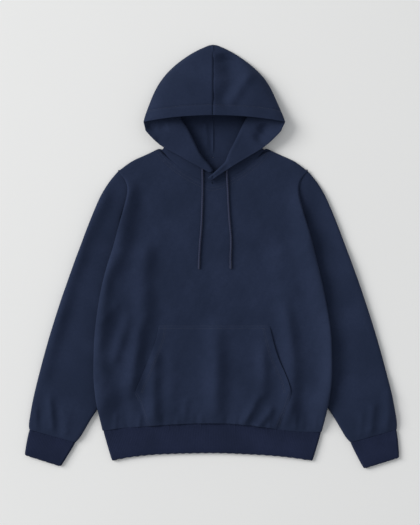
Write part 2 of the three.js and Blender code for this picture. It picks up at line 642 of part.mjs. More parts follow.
function backPanel() {
  const count = 2 * (BACK_STEPS.length - 1) + BACK_MIDDLE_COLUMNS;
  const plan = bodyPlan(backNeck, backColumnX, count);
  const outer = plan.map((row, i) => row.map(([x, y]) => (
    new THREE.Vector3(x, y, sleeveLift(x, y) + shoulderDrop(x, i)))));
  outer[outer.length - 1].forEach((point) => {
    point.y += SEAM_GAP;
  });
  const level = seamLevel(plan.length, (j) => Math.abs(outer[0][j].x));
  return { outer, inner: innerGrid(outer, FLEECE, { level }) };
}

// Pocket: the front panel's own points between the pocket's sides, moved out.
// Its two upper sides are open and gape by a little.
const POCKET_CLOTH = FLEECE - 0.4;
const OPEN_ROWS = 7;
const GAPE = { left: 0.8, right: 2.4, columns: 2 };

function pocketPanel(front) {
  const firstRow = UPPER_ROW_COUNT;
  const firstColumn = ROLL_STEPS + 1 + COLUMNS_OUTSIDE_POCKET;
  const rows = front.outer.slice(firstRow);
  const normals = innerGrid(front.outer, -1, { flip: true });
  const gapAt = (i, j) => {
    const nearRight = Math.max(0, 1 - (COLUMNS_OVER_POCKET - j) / GAPE.columns);
    const nearLeft = Math.max(0, 1 - j / GAPE.columns);
    const open = i < OPEN_ROWS ? Math.sin((Math.PI * i) / OPEN_ROWS) : 0;
    return SEAM_GAP + open * (GAPE.right * nearRight + GAPE.left * nearLeft);
  };
  const lift = rows.map((row, i) => {
    const cells = row.slice(firstColumn, firstColumn + COLUMNS_OVER_POCKET + 1);
    return cells.map((point, j) => {
      const direction = normals[firstRow + i][firstColumn + j].clone().sub(point);
      return { point, direction, gap: gapAt(i, j) };
    });
  });
  const move = (extra) => lift.map((row) => row.map(({ point, direction, gap }) => (
    point.clone().addScaledVector(direction, gap + extra))));
  return { outer: move(POCKET_CLOTH), inner: move(0) };
}

// Flattened tube: a ring of points for each row, from the outer edge over the top to the inner
// edge and back along the flat underside
const TOP_STEPS = 11;
const UNDER_STEPS = 4;
const FOLD_STEPS = 3;

function flatRing(path, width, heights, topHeight) {
  const [outerRadius, innerRadius] = [heights.edge / 2, heights.under / 2];
  const ring = [];
  for (let step = 0; step <= FOLD_STEPS; step += 1) {
    const angle = Math.PI * (step / FOLD_STEPS);
    ring.push(path(outerRadius * (1 - Math.sin(angle)), outerRadius * (1 - Math.cos(angle))));
  }
  for (let step = 1; step < TOP_STEPS; step += 1) {
    const across = mix(outerRadius, width - innerRadius, step / TOP_STEPS);
    const point = path(across, 0);
    point.z = topHeight(point.x, point.y, across);
    ring.push(point);
  }
  for (let step = 0; step <= FOLD_STEPS; step += 1) {
    const angle = Math.PI * (step / FOLD_STEPS);
    ring.push(path(width - innerRadius * (1 - Math.sin(angle)), innerRadius * (1 + Math.cos(angle))));
  }
  for (let step = 1; step < UNDER_STEPS; step += 1) {
    ring.push(path(mix(width - innerRadius, outerRadius, step / UNDER_STEPS), 0));
  }
  return ring;
}

// The sleeve's first row stands this far out from the armhole line, for its seam, and dips there
const SLEEVE_SET = 1.7;
const SLEEVE_DIP = 1.6;
const SLEEVE_CROWN = 50;
const FULL_BOW = 0.9;

// Bow of the armhole from the straight line between its ends
function armholeBow(share) {
  const first = armhole[0];
  const last = armhole[armhole.length - 1];
  const y = mix(first.y, last.y, share);
  return lookUp(armhole, 'y', y, 'half') - mix(first.half, last.half, share);
}

function sleeve(side) {
  const name = side < 0 ? 'left' : 'right';
  const outer = sleeveRows.map((row) => {
    const width = Math.hypot(row.outer[0] - row.inner[0], row.outer[1] - row.inner[1]);
    const path = (across, z) => {
      const share = across / width;
      const half = mix(row.outer[0], row.inner[0], share) + row.bow * (armholeBow(share) + SLEEVE_SET);
      return new THREE.Vector3(side * half, mix(row.outer[1], row.inner[1], share), z);
    };
    const topHeight = (x, y, across) => {
      const fromOuter = ease(across / SLEEVE_CROWN);
      const under = sleeveTopAt(Math.abs(x), y);
      const top = Math.min(mix(row.edge, row.middle, fromOuter), Math.max(under, row.under));
      const dip = row.bow > FULL_BOW ? SLEEVE_DIP : 0;
      const folds = foldHeight(x, y, sleeveFolds[name]);
      const toCuff = row === sleeveRows[sleeveRows.length - 1] ? 0 : 1;
      return top - dip + folds * toCuff;
    };
    return flatRing(path, width, row, topHeight);
  });
  const flip = side < 0;
  const inner = innerGrid(outer, FLEECE, { closed: true, flip });
  inner.flat().forEach((point) => {
    point.z = Math.max(point.z, FLEECE - 0.2);
  });
  return { outer, inner, flip };
}

// Ribbed tube: raised ribs on the upper side outside, plain inside. The ring's places are
// counted from 0 to 1, and its upper side runs from RING.rise to RING.top.
const RING = { rise: 0.05, top: 0.5, fall: 0.55 };

function ribbedTube(rows, height, { side, forward, plain }) {
  const ribRing = (row, raised, inset) => {
    const width = Math.hypot(row.outer[0] - row.inner[0], row.outer[1] - row.inner[1]);
    const radius = height / 2;
    const ribs = Math.round(rows[0].width / RIB_PITCH);
    const steps = raised ? 2 * ribs : plain;
    const path = (across, z) => {
      const x = side * mix(row.outer[0], row.inner[0], across / width);
      const y = row.seamY ? row.seamY(x) : mix(row.outer[1], row.inner[1], across / width);
      return new THREE.Vector3(x, y, z);
    };
    const ring = [];
    const params = [];
    const add = (across, z, param) => {
      ring.push(path(across, z));
      params.push(param);
    };
    for (let step = 0; step <= FOLD_STEPS; step += 1) {
      const angle = Math.PI * (step / FOLD_STEPS);
      const r = radius - inset;
      add(radius - r * Math.sin(angle), radius - r * Math.cos(angle), RING.rise * (step / FOLD_STEPS));
    }
    for (let step = 1; step < steps; step += 1) {
      const rise = raised ? RIB_RAISE * (step % 2) : 0;
      const share = step / steps;
      add(mix(radius, width - radius, share), height - inset + rise, mix(RING.rise, RING.top, share));
    }
    for (let step = 0; step <= FOLD_STEPS; step += 1) {
      const angle = Math.PI * (step / FOLD_STEPS);
      const r = radius - inset;
      const place = mix(RING.top, RING.fall, step / FOLD_STEPS);
      add(width - radius + r * Math.sin(angle), radius + r * Math.cos(angle), place);
    }
    for (let step = 1; step < plain; step += 1) {
      add(mix(width - radius, radius, step / plain), inset, mix(RING.fall, 1, step / plain));
    }
    return { ring, params };
  };
  const outer = rows.map((row) => ribRing(row, true, 0));
  const inner = rows.map((row) => ribRing(row, false, RIB_CLOTH));
  const positions = [];
  const faces = [];
  const rings = (list) => list.map(({ ring }) => ring.map((point) => {
    positions.push(...point.toArray());
    return positions.length / 3 - 1;
  }));
  const outerIds = rings(outer);
  const innerIds = rings(inner);
  const face = (a, b, c) => (forward ? faces.push(a, b, c) : faces.push(a, c, b));
  const skin = (ids, outward) => {
    for (let i = 0; i < ids.length - 1; i += 1) {
      const count = ids[i].length;
      for (let j = 0; j < count; j += 1) {
        const next = (j + 1) % count;
        const [a, b, c, d] = [ids[i][j], ids[i][next], ids[i + 1][next], ids[i + 1][j]];
        if (outward) {
          face(a, b, c);
          face(a, c, d);
        } else {
          face(a, c, b);
          face(a, d, c);
        }
      }
    }
  };
  skin(outerIds, true);
  skin(innerIds, false);
  const zip = (row, outward) => {
    const [a, b] = [outerIds[row], innerIds[row]];
    const [pa, pb] = [outer[row].params, inner[row].params];
    let i = 0;
    let j = 0;
    while (i < a.length || j < b.length) {
      const nextA = i < a.length ? (pa[i + 1] ?? 1) : Infinity;
      const nextB = j < b.length ? (pb[j + 1] ?? 1) : Infinity;
      const takeOuter = i < a.length && (nextA <= nextB || j >= b.length);
      const corner = takeOuter
        ? [a[i % a.length], a[(i + 1) % a.length], b[j % b.length]]
        : [a[i % a.length], b[(j + 1) % b.length], b[j % b.length]];
      if (outward) face(corner[0], corner[2], corner[1]);
      else face(corner[0], corner[1], corner[2]);
      if (takeOuter) i += 1;
      else j += 1;
    }
  };
  zip(0, true);
  zip(outerIds.length - 1, false);
  const geometry = new THREE.BufferGeometry();
  geometry.setAttribute('position', new THREE.Float32BufferAttribute(positions, 3));
  geometry.setIndex(faces);
  geometry.computeVertexNormals();
  return geometry;
}

function cuff(side) {
  const rows = cuffRows[side < 0 ? 'left' : 'right'].map((row) => ({
    ...row,
    width: Math.hypot(row.outer[0] - row.inner[0], row.outer[1] - row.inner[1]),
  }));
  return ribbedTube(rows, CUFF_HEIGHT, { side, forward: side > 0, plain: 8 });
}

// Waistband: one flattened tube from the left edge to the right edge
const BAND_SET = 2.6 * SEAM_GAP;

function waistband(front) {
  const turned = ROLL_STEPS + 1;
  const seamPoints = front.outer[front.outer.length - 1].slice(turned, -turned);
  const seam = (x) => straightAt(seamPoints, 'x', x, 'y') - BAND_SET;
  const edge = (x) => lookUp(hemEdge, 'x', x, 'y');
  const topWidth = [bodyEdge[bodyEdge.length - 1].left, bodyEdge[bodyEdge.length - 1].right];
  const rows = [0, 0.5, 1].map((share) => {
    const left = mix(topWidth[0], HEM_EDGE_LEFT, share);
    const right = mix(topWidth[1], HEM_EDGE_RIGHT, share);
    return {
      outer: [-left, 0],
      inner: [right, 0],
      width: left + right,
      seamY: (x) => mix(seam(x), edge(x), share),
    };
  });
  return ribbedTube(rows, HEM_HEIGHT, { side: RIGHT, forward: false, plain: 26 });
}

// Hood half: each row is one bent line through the cloth's middle, from the centre seam on top,
// over the side fold, in to the roll, under it to the turn, and along the surface to the back seam
const HOOD_TOP = 8;
const SEAM_HALF = SEAM_GAP / 2;
const SIDE_FOLD = { share: 0.9, least: 1.7, set: 2, inner: 4 };
const DOME_POWER = 2.4;
const LIFT_GROWTH = 12;
const TURN_HEIGHT = { above: 6, at: 4.6 };
const FLOOR_SET = 5;
const FLOOR_STEPS = 4;
const FOLD_COLUMNS = 8;

function crownLine(row, side) {
  const half = side < 0 ? row.left : row.right;
  const at = (x, z) => {
    const y = mix(row.seam, row.side, (Math.abs(x) / half) ** 2);
    return new THREE.Vector3(side * x, y, z);
  };
  const line = [];
  const foldRadius = Math.max((row.fold - row.lift) * SIDE_FOLD.share, SIDE_FOLD.least);
  const top = row.top - FLEECE / 2;
  for (let step = 0; step <= HOOD_TOP; step += 1) {
    const share = step / HOOD_TOP;
    const x = mix(SEAM_HALF, half - SIDE_FOLD.set, share);
    const dome = Math.sqrt(Math.max(0, 1 - share ** DOME_POWER));
    line.push(at(x, mix(row.fold + foldRadius * 0.5, top, dome)));
  }
  line.push(at(half - FLEECE / 2, row.fold));
  line.push(at(half - SIDE_FOLD.inner, Math.max(row.fold - foldRadius, row.lift)));
  const rollX = half * row.roll;
  const turnX = half * row.turn;
  const grown = ease((row.lift - FLOOR_MIDDLE) / LIFT_GROWTH);
  for (let step = 1; step <= 3; step += 1) {
    const x = mix(half - SIDE_FOLD.inner, rollX + HOOD_ROLL_RADIUS, step / 3);
    line.push(at(x, mix(Math.max(row.fold - foldRadius, row.lift), row.lift, step / 3)));
  }
  // Rows near the crown lie flat here, and rows near the face opening roll under
  const under = Math.max(FLOOR_MIDDLE, row.lift - 2 * HOOD_ROLL_RADIUS);
  const bends = [
    { flat: 0.25, rolled: rollX, from: row.lift, to: row.lift - HOOD_ROLL_RADIUS },
    { flat: 0.5, rolled: rollX + HOOD_ROLL_RADIUS, from: FLOOR_MIDDLE, to: under },
    { flat: 0.75, rolled: mix(rollX, turnX, 0.6), from: FLOOR_MIDDLE, to: (under + TURN_HEIGHT.above) / 2 },
    { flat: 1, rolled: turnX, from: FLOOR_MIDDLE, to: TURN_HEIGHT.at },
  ];
  bends.forEach(({ flat, rolled, from, to }) => {
    line.push(at(mix(mix(rollX, turnX, flat), rolled, grown), mix(from, to, grown)));
  });
  for (let step = 0; step <= FLOOR_STEPS; step += 1) {
    line.push(at(mix(turnX - FLOOR_SET, SEAM_HALF, step / FLOOR_STEPS), FLOOR_MIDDLE));
  }
  return line;
}

function throatLine(row, side) {
  const count = HOOD_TOP + 1;
  const line = [];
  for (let step = 0; step < count; step += 1) line.push(new THREE.Vector3());
  const place = (from, to, share, z) => new THREE.Vector3(
    mix(from[0], to[0], share),
    mix(from[1], to[1], share),
    z,
  );
  const length = Math.hypot(row.edge[0] - row.roll[0], row.edge[1] - row.roll[1]);
  const shareOf = (distance) => Math.min(distance / length, 0.4);
  line.push(place(row.edge, row.roll, 0, row.edgeZ));
  line.push(place(row.edge, row.roll, shareOf(SIDE_FOLD.inner), row.edgeZ));
  for (let step = 1; step <= 3; step += 1) {
    const share = mix(shareOf(SIDE_FOLD.inner), 1 - shareOf(HOOD_ROLL_RADIUS), step / 3);
    line.push(place(row.edge, row.roll, share, mix(row.edgeZ, row.rollZ, step / 3)));
  }
  const back = Math.min(HOOD_ROLL_RADIUS, length * 0.4);
  const reach = Math.hypot(row.turn[0] - row.roll[0], row.turn[1] - row.roll[1]);
  line.push(place(row.roll, row.turn, 0, row.rollZ - HOOD_ROLL_RADIUS * 0.8));
  const lowZ = Math.max(row.rollZ - 2 * HOOD_ROLL_RADIUS, row.turnZ);
  line.push(place(row.roll, row.turn, back / reach, lowZ));
  line.push(place(row.roll, row.turn, 0.55, mix(lowZ, row.turnZ, 0.6)));
  line.push(place(row.roll, row.turn, 1, row.turnZ));
  for (let step = 0; step <= FLOOR_STEPS; step += 1) {
    const start = [row.turn[0] - side * FLOOR_SET, row.turn[1]];
    const seam = [side * SEAM_HALF, row.backSeam ?? 0];
    const point = place(start, seam, step / FLOOR_STEPS, FLOOR_MIDDLE);
    if (row.nape) point.y = lookUp(backNeck, 'x', Math.abs(point.x), 'y') + NAPE_GAP;
    line.push(point);
  }
  return line;
}

function hoodHalf(side) {
  const lower = throatRows[side < 0 ? 'left' : 'right'];
  const middle = [
    ...crownRows.map((row) => crownLine(row, side)),
    ...lower.map((row) => throatLine(row, side)),
  ];
  const brim = crownRows.length - 1;
  const sideColumn = HOOD_TOP + 1;
  const turnColumn = sideColumn + FOLD_COLUMNS;
  const nape = brim + 3;
  const keep = (i, j) => {
    if (i >= brim && j < sideColumn) return false;
    if (i >= nape && j >= turnColumn) return false;
    return true;
  };
  // Places above the face opening stand in for the unused ones below, so that directions are true
  for (let i = brim + 1; i < middle.length; i += 1) {
    for (let j = 0; j < sideColumn; j += 1) {
      const inward = middle[i][sideColumn].clone().sub(middle[i][sideColumn + 1]);
      middle[i][j] = middle[i][sideColumn].clone().addScaledVector(inward, sideColumn - j);
    }
    if (i > nape) {
      for (let j = turnColumn + 1; j < middle[i].length; j += 1) {
        const onward = middle[i][turnColumn].clone().sub(middle[i][turnColumn - 1]);
        middle[i][j] = middle[i][turnColumn].clone().addScaledVector(onward, j - turnColumn);
      }
    }
  }
  const flip = side < 0;
  const outer = innerGrid(middle, -FLEECE / 2, { flip });
  const inner = innerGrid(middle, FLEECE / 2, { flip });
  return { outer, inner, keep, flip };
}

// Drawcord end: a round tube along its route
function drawcord(side) {
  const route = cordRoutes[side < 0 ? 'left' : 'right'].map((point) => new THREE.Vector3(...point));
  const section = new THREE.Shape();
  for (let corner = 0; corner < CORD_SIDES; corner += 1) {
    const angle = (2 * Math.PI * corner) / CORD_SIDES;
    const [x, y] = [(CORD_DIAMETER / 2) * Math.cos(angle), (CORD_DIAMETER / 2) * Math.sin(angle)];
    if (corner === 0) section.moveTo(x, y);
    else section.lineTo(x, y);
  }
  return new THREE.ExtrudeGeometry(section, {
    steps: 24,
    curveSegments: 1,
    extrudePath: new THREE.CatmullRomCurve3(route),
  });
}

const front = frontPanel();
const back = backPanel();
const pocket = pocketPanel(front);
const hoodie = new THREE.Group();
const add = (name, geometry, color) => hoodie.add(cloth(name, geometry, color));
add('front_body', wallGeometry(front.outer, front.inner, { flip: true }), NAVY);
add('back_body', wallGeometry(back.outer, back.inner), NAVY);
add('pocket', wallGeometry(pocket.outer, pocket.inner, { flip: true }), NAVY);
add('hem_band', waistband(front), NAVY_RIB);
[LEFT, RIGHT].forEach((side) => {
  const name = side < 0 ? 'left' : 'right';
  const arm = sleeve(side);
  const hood = hoodHalf(side);
  const { keep, flip } = hood;
  add(`sleeve_${name}`, wallGeometry(arm.outer, arm.inner, { closed: true, flip: arm.flip }), NAVY);
  add(`cuff_${name}`, cuff(side), NAVY_RIB);
  add(`hood_${name}`, wallGeometry(hood.outer, hood.inner, { keep, flip }), NAVY);
  add(`drawcord_${name}`, drawcord(side), NAVY_CORD);
});

export default hoodie;
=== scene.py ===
"""Looks of a pullover hoodie laid flat: its cloth, ribs, stitching and drawcord.

Lengths are in metres, but the tables and the sizes in the classes are in mm.
"""

import logging
import math
from collections.abc import Sequence
from dataclasses import dataclass, field
from enum import Enum

import bmesh
import bpy
import numpy as np
from mathutils import Matrix, Vector
from mathutils.bvhtree import BVHTree


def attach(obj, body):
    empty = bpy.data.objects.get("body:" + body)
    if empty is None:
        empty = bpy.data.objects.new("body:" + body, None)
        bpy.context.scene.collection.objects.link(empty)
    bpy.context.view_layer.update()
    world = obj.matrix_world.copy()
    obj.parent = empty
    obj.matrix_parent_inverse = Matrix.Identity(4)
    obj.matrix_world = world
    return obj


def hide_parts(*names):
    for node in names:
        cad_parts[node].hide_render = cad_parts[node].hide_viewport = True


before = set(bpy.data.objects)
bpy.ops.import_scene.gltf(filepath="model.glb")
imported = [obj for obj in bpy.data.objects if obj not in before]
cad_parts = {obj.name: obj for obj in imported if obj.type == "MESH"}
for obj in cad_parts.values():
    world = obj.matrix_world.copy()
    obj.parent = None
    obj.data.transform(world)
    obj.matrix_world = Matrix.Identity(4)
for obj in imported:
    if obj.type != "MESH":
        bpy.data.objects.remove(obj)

log = logging.getLogger("hoodie")

MM = 0.001
WELD = 0.00001
PHOTO_HEIGHT = 525
PIXEL = 0.0023
SQUARENESS = math.radians(170.0)
STEEP_TURN = math.radians(50.0)
CORNER_TURN = math.radians(35.0)
WALL_LEEWAY = 0.07
LOOKS_UP = 0.25
OVERHEAD = Vector((0.0, 0.0, 0.2))
HOOD_HEM = 24.0

Socket = bpy.types.NodeSocket
Plan = tuple[float, float]
Colour = tuple[float, float, float]


class Side(Enum):
    """A side of the garment as the viewer sees it."""

    LEFT = -1
    RIGHT = 1

    @property
    def word(self) -> str:
        """The side's name in the names of nodes."""
        return self.name.lower()


class Layer(Enum):
    """The layer of a laid tube or wall that a crease is in."""

    UPPER = "upper"
    UNDER = "under"


def ease(value: np.ndarray) -> np.ndarray:
    """Soft step from 0 to 1."""
    held = np.clip(value, 0.0, 1.0)
    return held * held * (3.0 - 2.0 * held)


def linear(colour: Colour) -> tuple[float, float, float, float]:
    """Turns a screen colour of 0 to 255 into the linear colour that a socket takes.

    Args:
        colour: Red, green and blue as seen on a screen.

    Returns:
        The same colour in linear light, with an alpha of one.
    """
    parts = [part / 255.0 for part in colour]
    lit = [part / 12.92 if part <= 0.04045 else ((part + 0.055) / 1.055) ** 2.4 for part in parts]
    return (*lit, 1.0)


def shaded(colour: Colour, share: float) -> tuple[float, float, float, float]:
    """The linear colour made brighter or darker by a share of its light."""
    return (*(part * share for part in linear(colour)[:3]), 1.0)


def nearest_on_line(points: np.ndarray, line: np.ndarray) -> tuple[np.ndarray, np.ndarray]:
    """Finds how far each point is from a bent line in plan.

    Args:
        points: One row of x and y for each point.
        line: One row of x and y for each bend of the line.

    Returns:
        The distance, and the share of the line's length where it is nearest.
    """
    steps = np.linalg.norm(np.diff(line, axis=0), axis=1)
    before = np.concatenate([[0.0], np.cumsum(steps)])
    best = np.full(len(points), np.inf)
    along = np.zeros(len(points))
    for index, step in enumerate(steps):
        start, run = line[index], line[index + 1] - line[index]
        away = points - start
        share = np.clip(away @ run / max(step * step, 1e-12), 0.0, 1.0)
        gap = away - share[:, None] * run
        distance = np.hypot(gap[:, 0], gap[:, 1])
        closer = distance < best
        best = np.where(closer, distance, best)
        along = np.where(closer, (before[index] + share * step) / before[-1], along)
    return best, along


@dataclass(frozen=True)
class Crease:
    """A soft ridge, or a trough where its height is negative, along a bent line. All in mm."""

    start: Plan
    bend: Plan
    end: Plan
    width: float
    height: float
    layer: Layer = Layer.UPPER
    fade: float = 0.22
    waver: float = 0.18
    flutter: float = 0.08

    def line(self, count: int = 14) -> np.ndarray:
        """Points of the crease's line in metres, bent through its middle place."""
        start, bend, end = (np.array(place) * MM for place in (self.start, self.bend, self.end))
        pull = 2.0 * bend - (start + end) / 2.0
        share = np.linspace(0.0, 1.0, count)[:, None]
        return (1 - share) ** 2 * start + 2 * share * (1 - share) * pull + share**2 * end

    def lift(self, points: np.ndarray) -> np.ndarray:
        """Height that the crease gives to each point in plan.

        Args:
            points: One row of x and y in metres for each point.

        Returns:
            The height in metres.
        """
        distance, along = nearest_on_line(points, self.line())
        width = self.width * MM
        slow = self.waver * np.sin(9.0 * along + self.start[0])
        quick = self.flutter * np.sin(23.0 * along + self.end[1])
        ends = ease(along / self.fade) * ease((1.0 - along) / self.fade)
        return self.height * MM * (1.0 + slow + quick) * ends * np.exp(-((distance / width) ** 2))

    def share(self, upper: np.ndarray) -> np.ndarray:
        """How much of the crease each point takes, from its share of the upper layer."""
        return upper if self.layer is Layer.UPPER else 1.0 - upper


@dataclass(frozen=True)
class Ripple:
    """Faint unevenness of cloth that has been in use and smoothed out by hand."""

    height: float
    length: float
    seed: int
    waves: int = 7

    def lift(self, points: np.ndarray) -> np.ndarray:
        """Height in metres that the ripple gives to each point in plan.

        Args:
            points: One row of x and y for each point.

        Returns:
            The height of each point.
        """
        chance = np.random.default_rng(self.seed)
        total = np.zeros(len(points))
        for _ in range(self.waves):
            angle = chance.uniform(0.0, math.pi)
            length = self.length * MM * chance.uniform(0.6, 1.7)
            phase = chance.uniform(0.0, 2.0 * math.pi)
            along = points @ np.array([math.cos(angle), math.sin(angle)])
            total += np.sin(2.0 * math.pi * along / length + phase)
        return self.height * MM * total / math.sqrt(self.waves)

    def share(self, upper: np.ndarray) -> np.ndarray:
        """How much of the ripple each point takes: all of it on the upper layer."""
        return upper


class Graph:
    """A material's node graph, built one named step at a time."""

    def __init__(self, name: str) -> None:
        """Starts an empty material.

        Args:
            name: The material's name.
        """
        self.material = bpy.data.materials.new(name)
        self.material.use_nodes = True
        self.nodes = self.material.node_tree.nodes
        self.links = self.material.node_tree.links
        self.nodes.clear()
        self.shader = self.nodes.new("ShaderNodeBsdfPrincipled")
        output = self.nodes.new("ShaderNodeOutputMaterial")
        self.links.new(self.shader.outputs["BSDF"], output.inputs["Surface"])

    def feed(self, socket: Socket, value: Socket | float | Sequence[float]) -> None:
        """Links a socket or sets its own value."""
        if isinstance(value, Socket):
            self.links.new(value, socket)
        else:
            socket.default_value = value

    def math(self, operation: str, first: Socket | float, second: Socket | float = 0.0) -> Socket:
        """Adds a step of arithmetic and returns its result."""
        node = self.nodes.new("ShaderNodeMath")
        node.operation = operation
        self.feed(node.inputs[0], first)
        self.feed(node.inputs[1], second)
        return node.outputs[0]

    def object_place(self) -> Socket:
        """The place on the object, in metres."""
        return self.nodes.new("ShaderNodeTexCoord").outputs["Object"]

    def grain_place(self) -> tuple[Socket, Socket, Socket]:
        """The place on the cloth along its grain: the whole vector, across and along, in metres."""
        chart = self.nodes.new("ShaderNodeUVMap")
        chart.uv_map = "grain"
        split = self.nodes.new("ShaderNodeSeparateXYZ")
        self.links.new(chart.outputs["UV"], split.inputs[0])
        return chart.outputs["UV"], split.outputs["X"], split.outputs["Y"]

    def noise(self, place: Socket, size: float, detail: float = 2.0, roughness: float = 0.5) -> Socket:
        """Adds noise whose patches are about size metres wide and returns its strength."""
        node = self.nodes.new("ShaderNodeTexNoise")
        node.inputs["Scale"].default_value = 1.0 / size
        node.inputs["Detail"].default_value = detail
        node.inputs["Roughness"].default_value = roughness
        self.links.new(place, node.inputs["Vector"])
        return node.outputs["Fac"]

    def attribute(self, name: str) -> Socket:
        """Strength of a named attribute of the mesh."""
        node = self.nodes.new("ShaderNodeAttribute")
        node.attribute_name = name
        return node.outputs["Fac"]

    def between(self, share: Socket | float, low: float, high: float) -> Socket:
        """Stretches a strength so that low gives zero and high gives one."""
        node = self.nodes.new("ShaderNodeMapRange")
        node.interpolation_type = "SMOOTHSTEP"
        self.feed(node.inputs["Value"], share)
        node.inputs["From Min"].default_value = low
        node.inputs["From Max"].default_value = high
        return node.outputs["Result"]

    def mix(
        self, share: Socket | float, first: Socket | Sequence[float], second: Socket | Sequence[float],
    ) -> Socket:
        """Mixes two colours and returns the result."""
        node = self.nodes.new("ShaderNodeMix")
        node.data_type = "RGBA"
        self.feed(node.inputs["Factor"], share)
        self.feed(node.inputs["A"], first)
        self.feed(node.inputs["B"], second)
        return node.outputs["Result"]

    def bump(self, height: Socket, depth: float, below: Socket | None = None) -> Socket:
        """Adds a relief of a real depth in metres over another relief and returns the normal.

        Args:
            height: The height of the relief.
            depth: Its depth.
            below: The normal of the relief under it.

        Returns:
            The normal.
        """
        node = self.nodes.new("ShaderNodeBump")
        node.inputs["Strength"].default_value = 1.0
        node.inputs["Distance"].default_value = depth
        self.links.new(height, node.inputs["Height"])
        if below is not None:
            self.links.new(below, node.inputs["Normal"])
        return node.outputs["Normal"]


@dataclass(frozen=True)
class KnitFinish:
    """A knitted cloth: fine stitches under a soft matte face. Lengths are in mm."""

    name: str
    slot: str
    base: Colour
    deep: Colour
    # Paler colour for wear and painted highlight on raised edges and rib crests; also the sheen tint.
    worn: Colour
    wale: float = 1.25
    course: float = 1.05
    relief: float = 0.10
    fuzz: float = 0.22
    sheen: float = 0.35

    def stitches(self, graph: Graph) -> Socket:
        """Adds the columns of knitted loops and returns their height.

        Args:
            graph: The material's graph.

        Returns:
            The height of the loops.
        """
        _, across, along = graph.grain_place()
        column = graph.math("DIVIDE", across, self.wale * MM)
        round_top = graph.math("ABSOLUTE", graph.math("SINE", graph.math("MULTIPLY", column, math.pi)))
        share = graph.math("FRACT", column)
        slant = graph.math("ABSOLUTE", graph.math("SUBTRACT", share, 0.5))
        row = graph.math("ADD", graph.math("DIVIDE", along, self.course * MM), slant)
        loop = graph.math("SINE", graph.math("MULTIPLY", row, 2.0 * math.pi))
        loop_height = graph.math("MULTIPLY_ADD", loop, 0.22)
        loop_height.node.inputs[2].default_value = 0.78
        return graph.math("MULTIPLY", round_top, loop_height)

    def material(self) -> bpy.types.Material:
        """Builds the cloth's material.

        Returns:
            The material, with its colour, a paler tone of wear and painted highlight on raised places,
            relief, roughness and soft sheen.
        """
        graph = Graph(self.name)
        place = graph.object_place()
        clouds = graph.between(graph.noise(place, 0.085, 3.0), 0.3, 0.7)
        mottle = graph.between(graph.noise(place, 0.0055, 4.0, 0.62), 0.28, 0.72)
        fibres = graph.noise(place, 0.0011, 3.0, 0.7)
        tone = graph.mix(clouds, linear(self.deep), linear(self.base))
        tone = graph.mix(graph.math("MULTIPLY", mottle, 0.34), tone, shaded(self.deep, 0.82))
        lit = graph.math("MULTIPLY", graph.between(fibres, 0.42, 0.74), 0.4)
        tone = graph.mix(lit, tone, shaded(self.base, 1.16))
        # Paler at the rolled edges and rib crests: partly wear, partly painted highlight.
        rubbed_and_lit = graph.math("MULTIPLY", graph.attribute("wear"), graph.between(clouds, -0.8, 1.2))
        tone = graph.mix(graph.math("MULTIPLY", rubbed_and_lit, 0.55), tone, linear(self.worn))
        graph.feed(graph.shader.inputs["Base Color"], tone)
        knit = graph.bump(self.stitches(graph), self.relief * MM)
        felt = graph.bump(graph.noise(place, 0.0019, 4.0, 0.66), self.fuzz * MM, knit)
        graph.feed(graph.shader.inputs["Normal"], felt)
        rough = graph.math("MULTIPLY_ADD", mottle, 0.06)
        rough.node.inputs[2].default_value = 0.9
        graph.feed(graph.shader.inputs["Roughness"], rough)
        graph.shader.inputs["Sheen Weight"].default_value = self.sheen
        graph.shader.inputs["Sheen Roughness"].default_value = 0.55
        graph.shader.inputs["Sheen Tint"].default_value = linear(self.worn)
        graph.shader.inputs["Specular IOR Level"].default_value = 0.12
        return graph.material


@dataclass(frozen=True)
class ThreadFinish:
    """Twisted sewing thread."""

    name: str
    slot: str
    base: Colour

    def material(self) -> bpy.types.Material:
        """Builds the thread's material.

        Returns:
            The material.
        """
        graph = Graph(self.name)
        twist = graph.noise(graph.object_place(), 0.0006, 2.0)
        tone = graph.mix(twist, shaded(self.base, 0.7), linear(self.base))
        graph.feed(graph.shader.inputs["Base Color"], tone)
        graph.feed(graph.shader.inputs["Normal"], graph.bump(twist, 0.08 * MM))
        graph.shader.inputs["Roughness"].default_value = 0.7
        graph.shader.inputs["Sheen Weight"].default_value = 0.2
        return graph.material


@dataclass(frozen=True)
class CordFinish:
    """Braided cotton cord, with painted shade in the grooves between its strands."""

    name: str
    slot: str
    base: Colour
    # The painted shade in the grooves between the strands.
    deep: Colour

    def material(self) -> bpy.types.Material:
        """Builds the cord's material, painting shade between the strands from the plait height attribute.

        Returns:
            The material.
        """
        graph = Graph(self.name)
        # Painted shade: darker where the plait sinks between strands.
        strand = graph.attribute("strand")
        tone = graph.mix(strand, linear(self.deep), linear(self.base))
        fibres = graph.noise(graph.object_place(), 0.0007, 3.0, 0.7)
        lit = graph.math("MULTIPLY", graph.between(fibres, 0.45, 0.75), 0.4)
        tone = graph.mix(lit, tone, shaded(self.base, 1.2))
        graph.feed(graph.shader.inputs["Base Color"], tone)
        graph.feed(graph.shader.inputs["Normal"], graph.bump(fibres, 0.12 * MM))
        graph.shader.inputs["Roughness"].default_value = 0.86
        graph.shader.inputs["Sheen Weight"].default_value = 0.25
        graph.shader.inputs["Specular IOR Level"].default_value = 0.2
        return graph.material


@dataclass(frozen=True)
class FloorFinish:
    """Matte pale board that the garment lies on."""

    name: str
    base: Colour

    def material(self) -> bpy.types.Material:
        """Builds the floor's material.

        Returns:
            The material.
        """
        graph = Graph(self.name)
        grain = graph.noise(graph.object_place(), 0.4, 2.0)
        tone = graph.mix(grain, shaded(self.base, 0.985), linear(self.base))
        graph.feed(graph.shader.inputs["Base Color"], tone)
        graph.shader.inputs["Roughness"].default_value = 0.95
        graph.shader.inputs["Specular IOR Level"].default_value = 0.1
        return graph.material
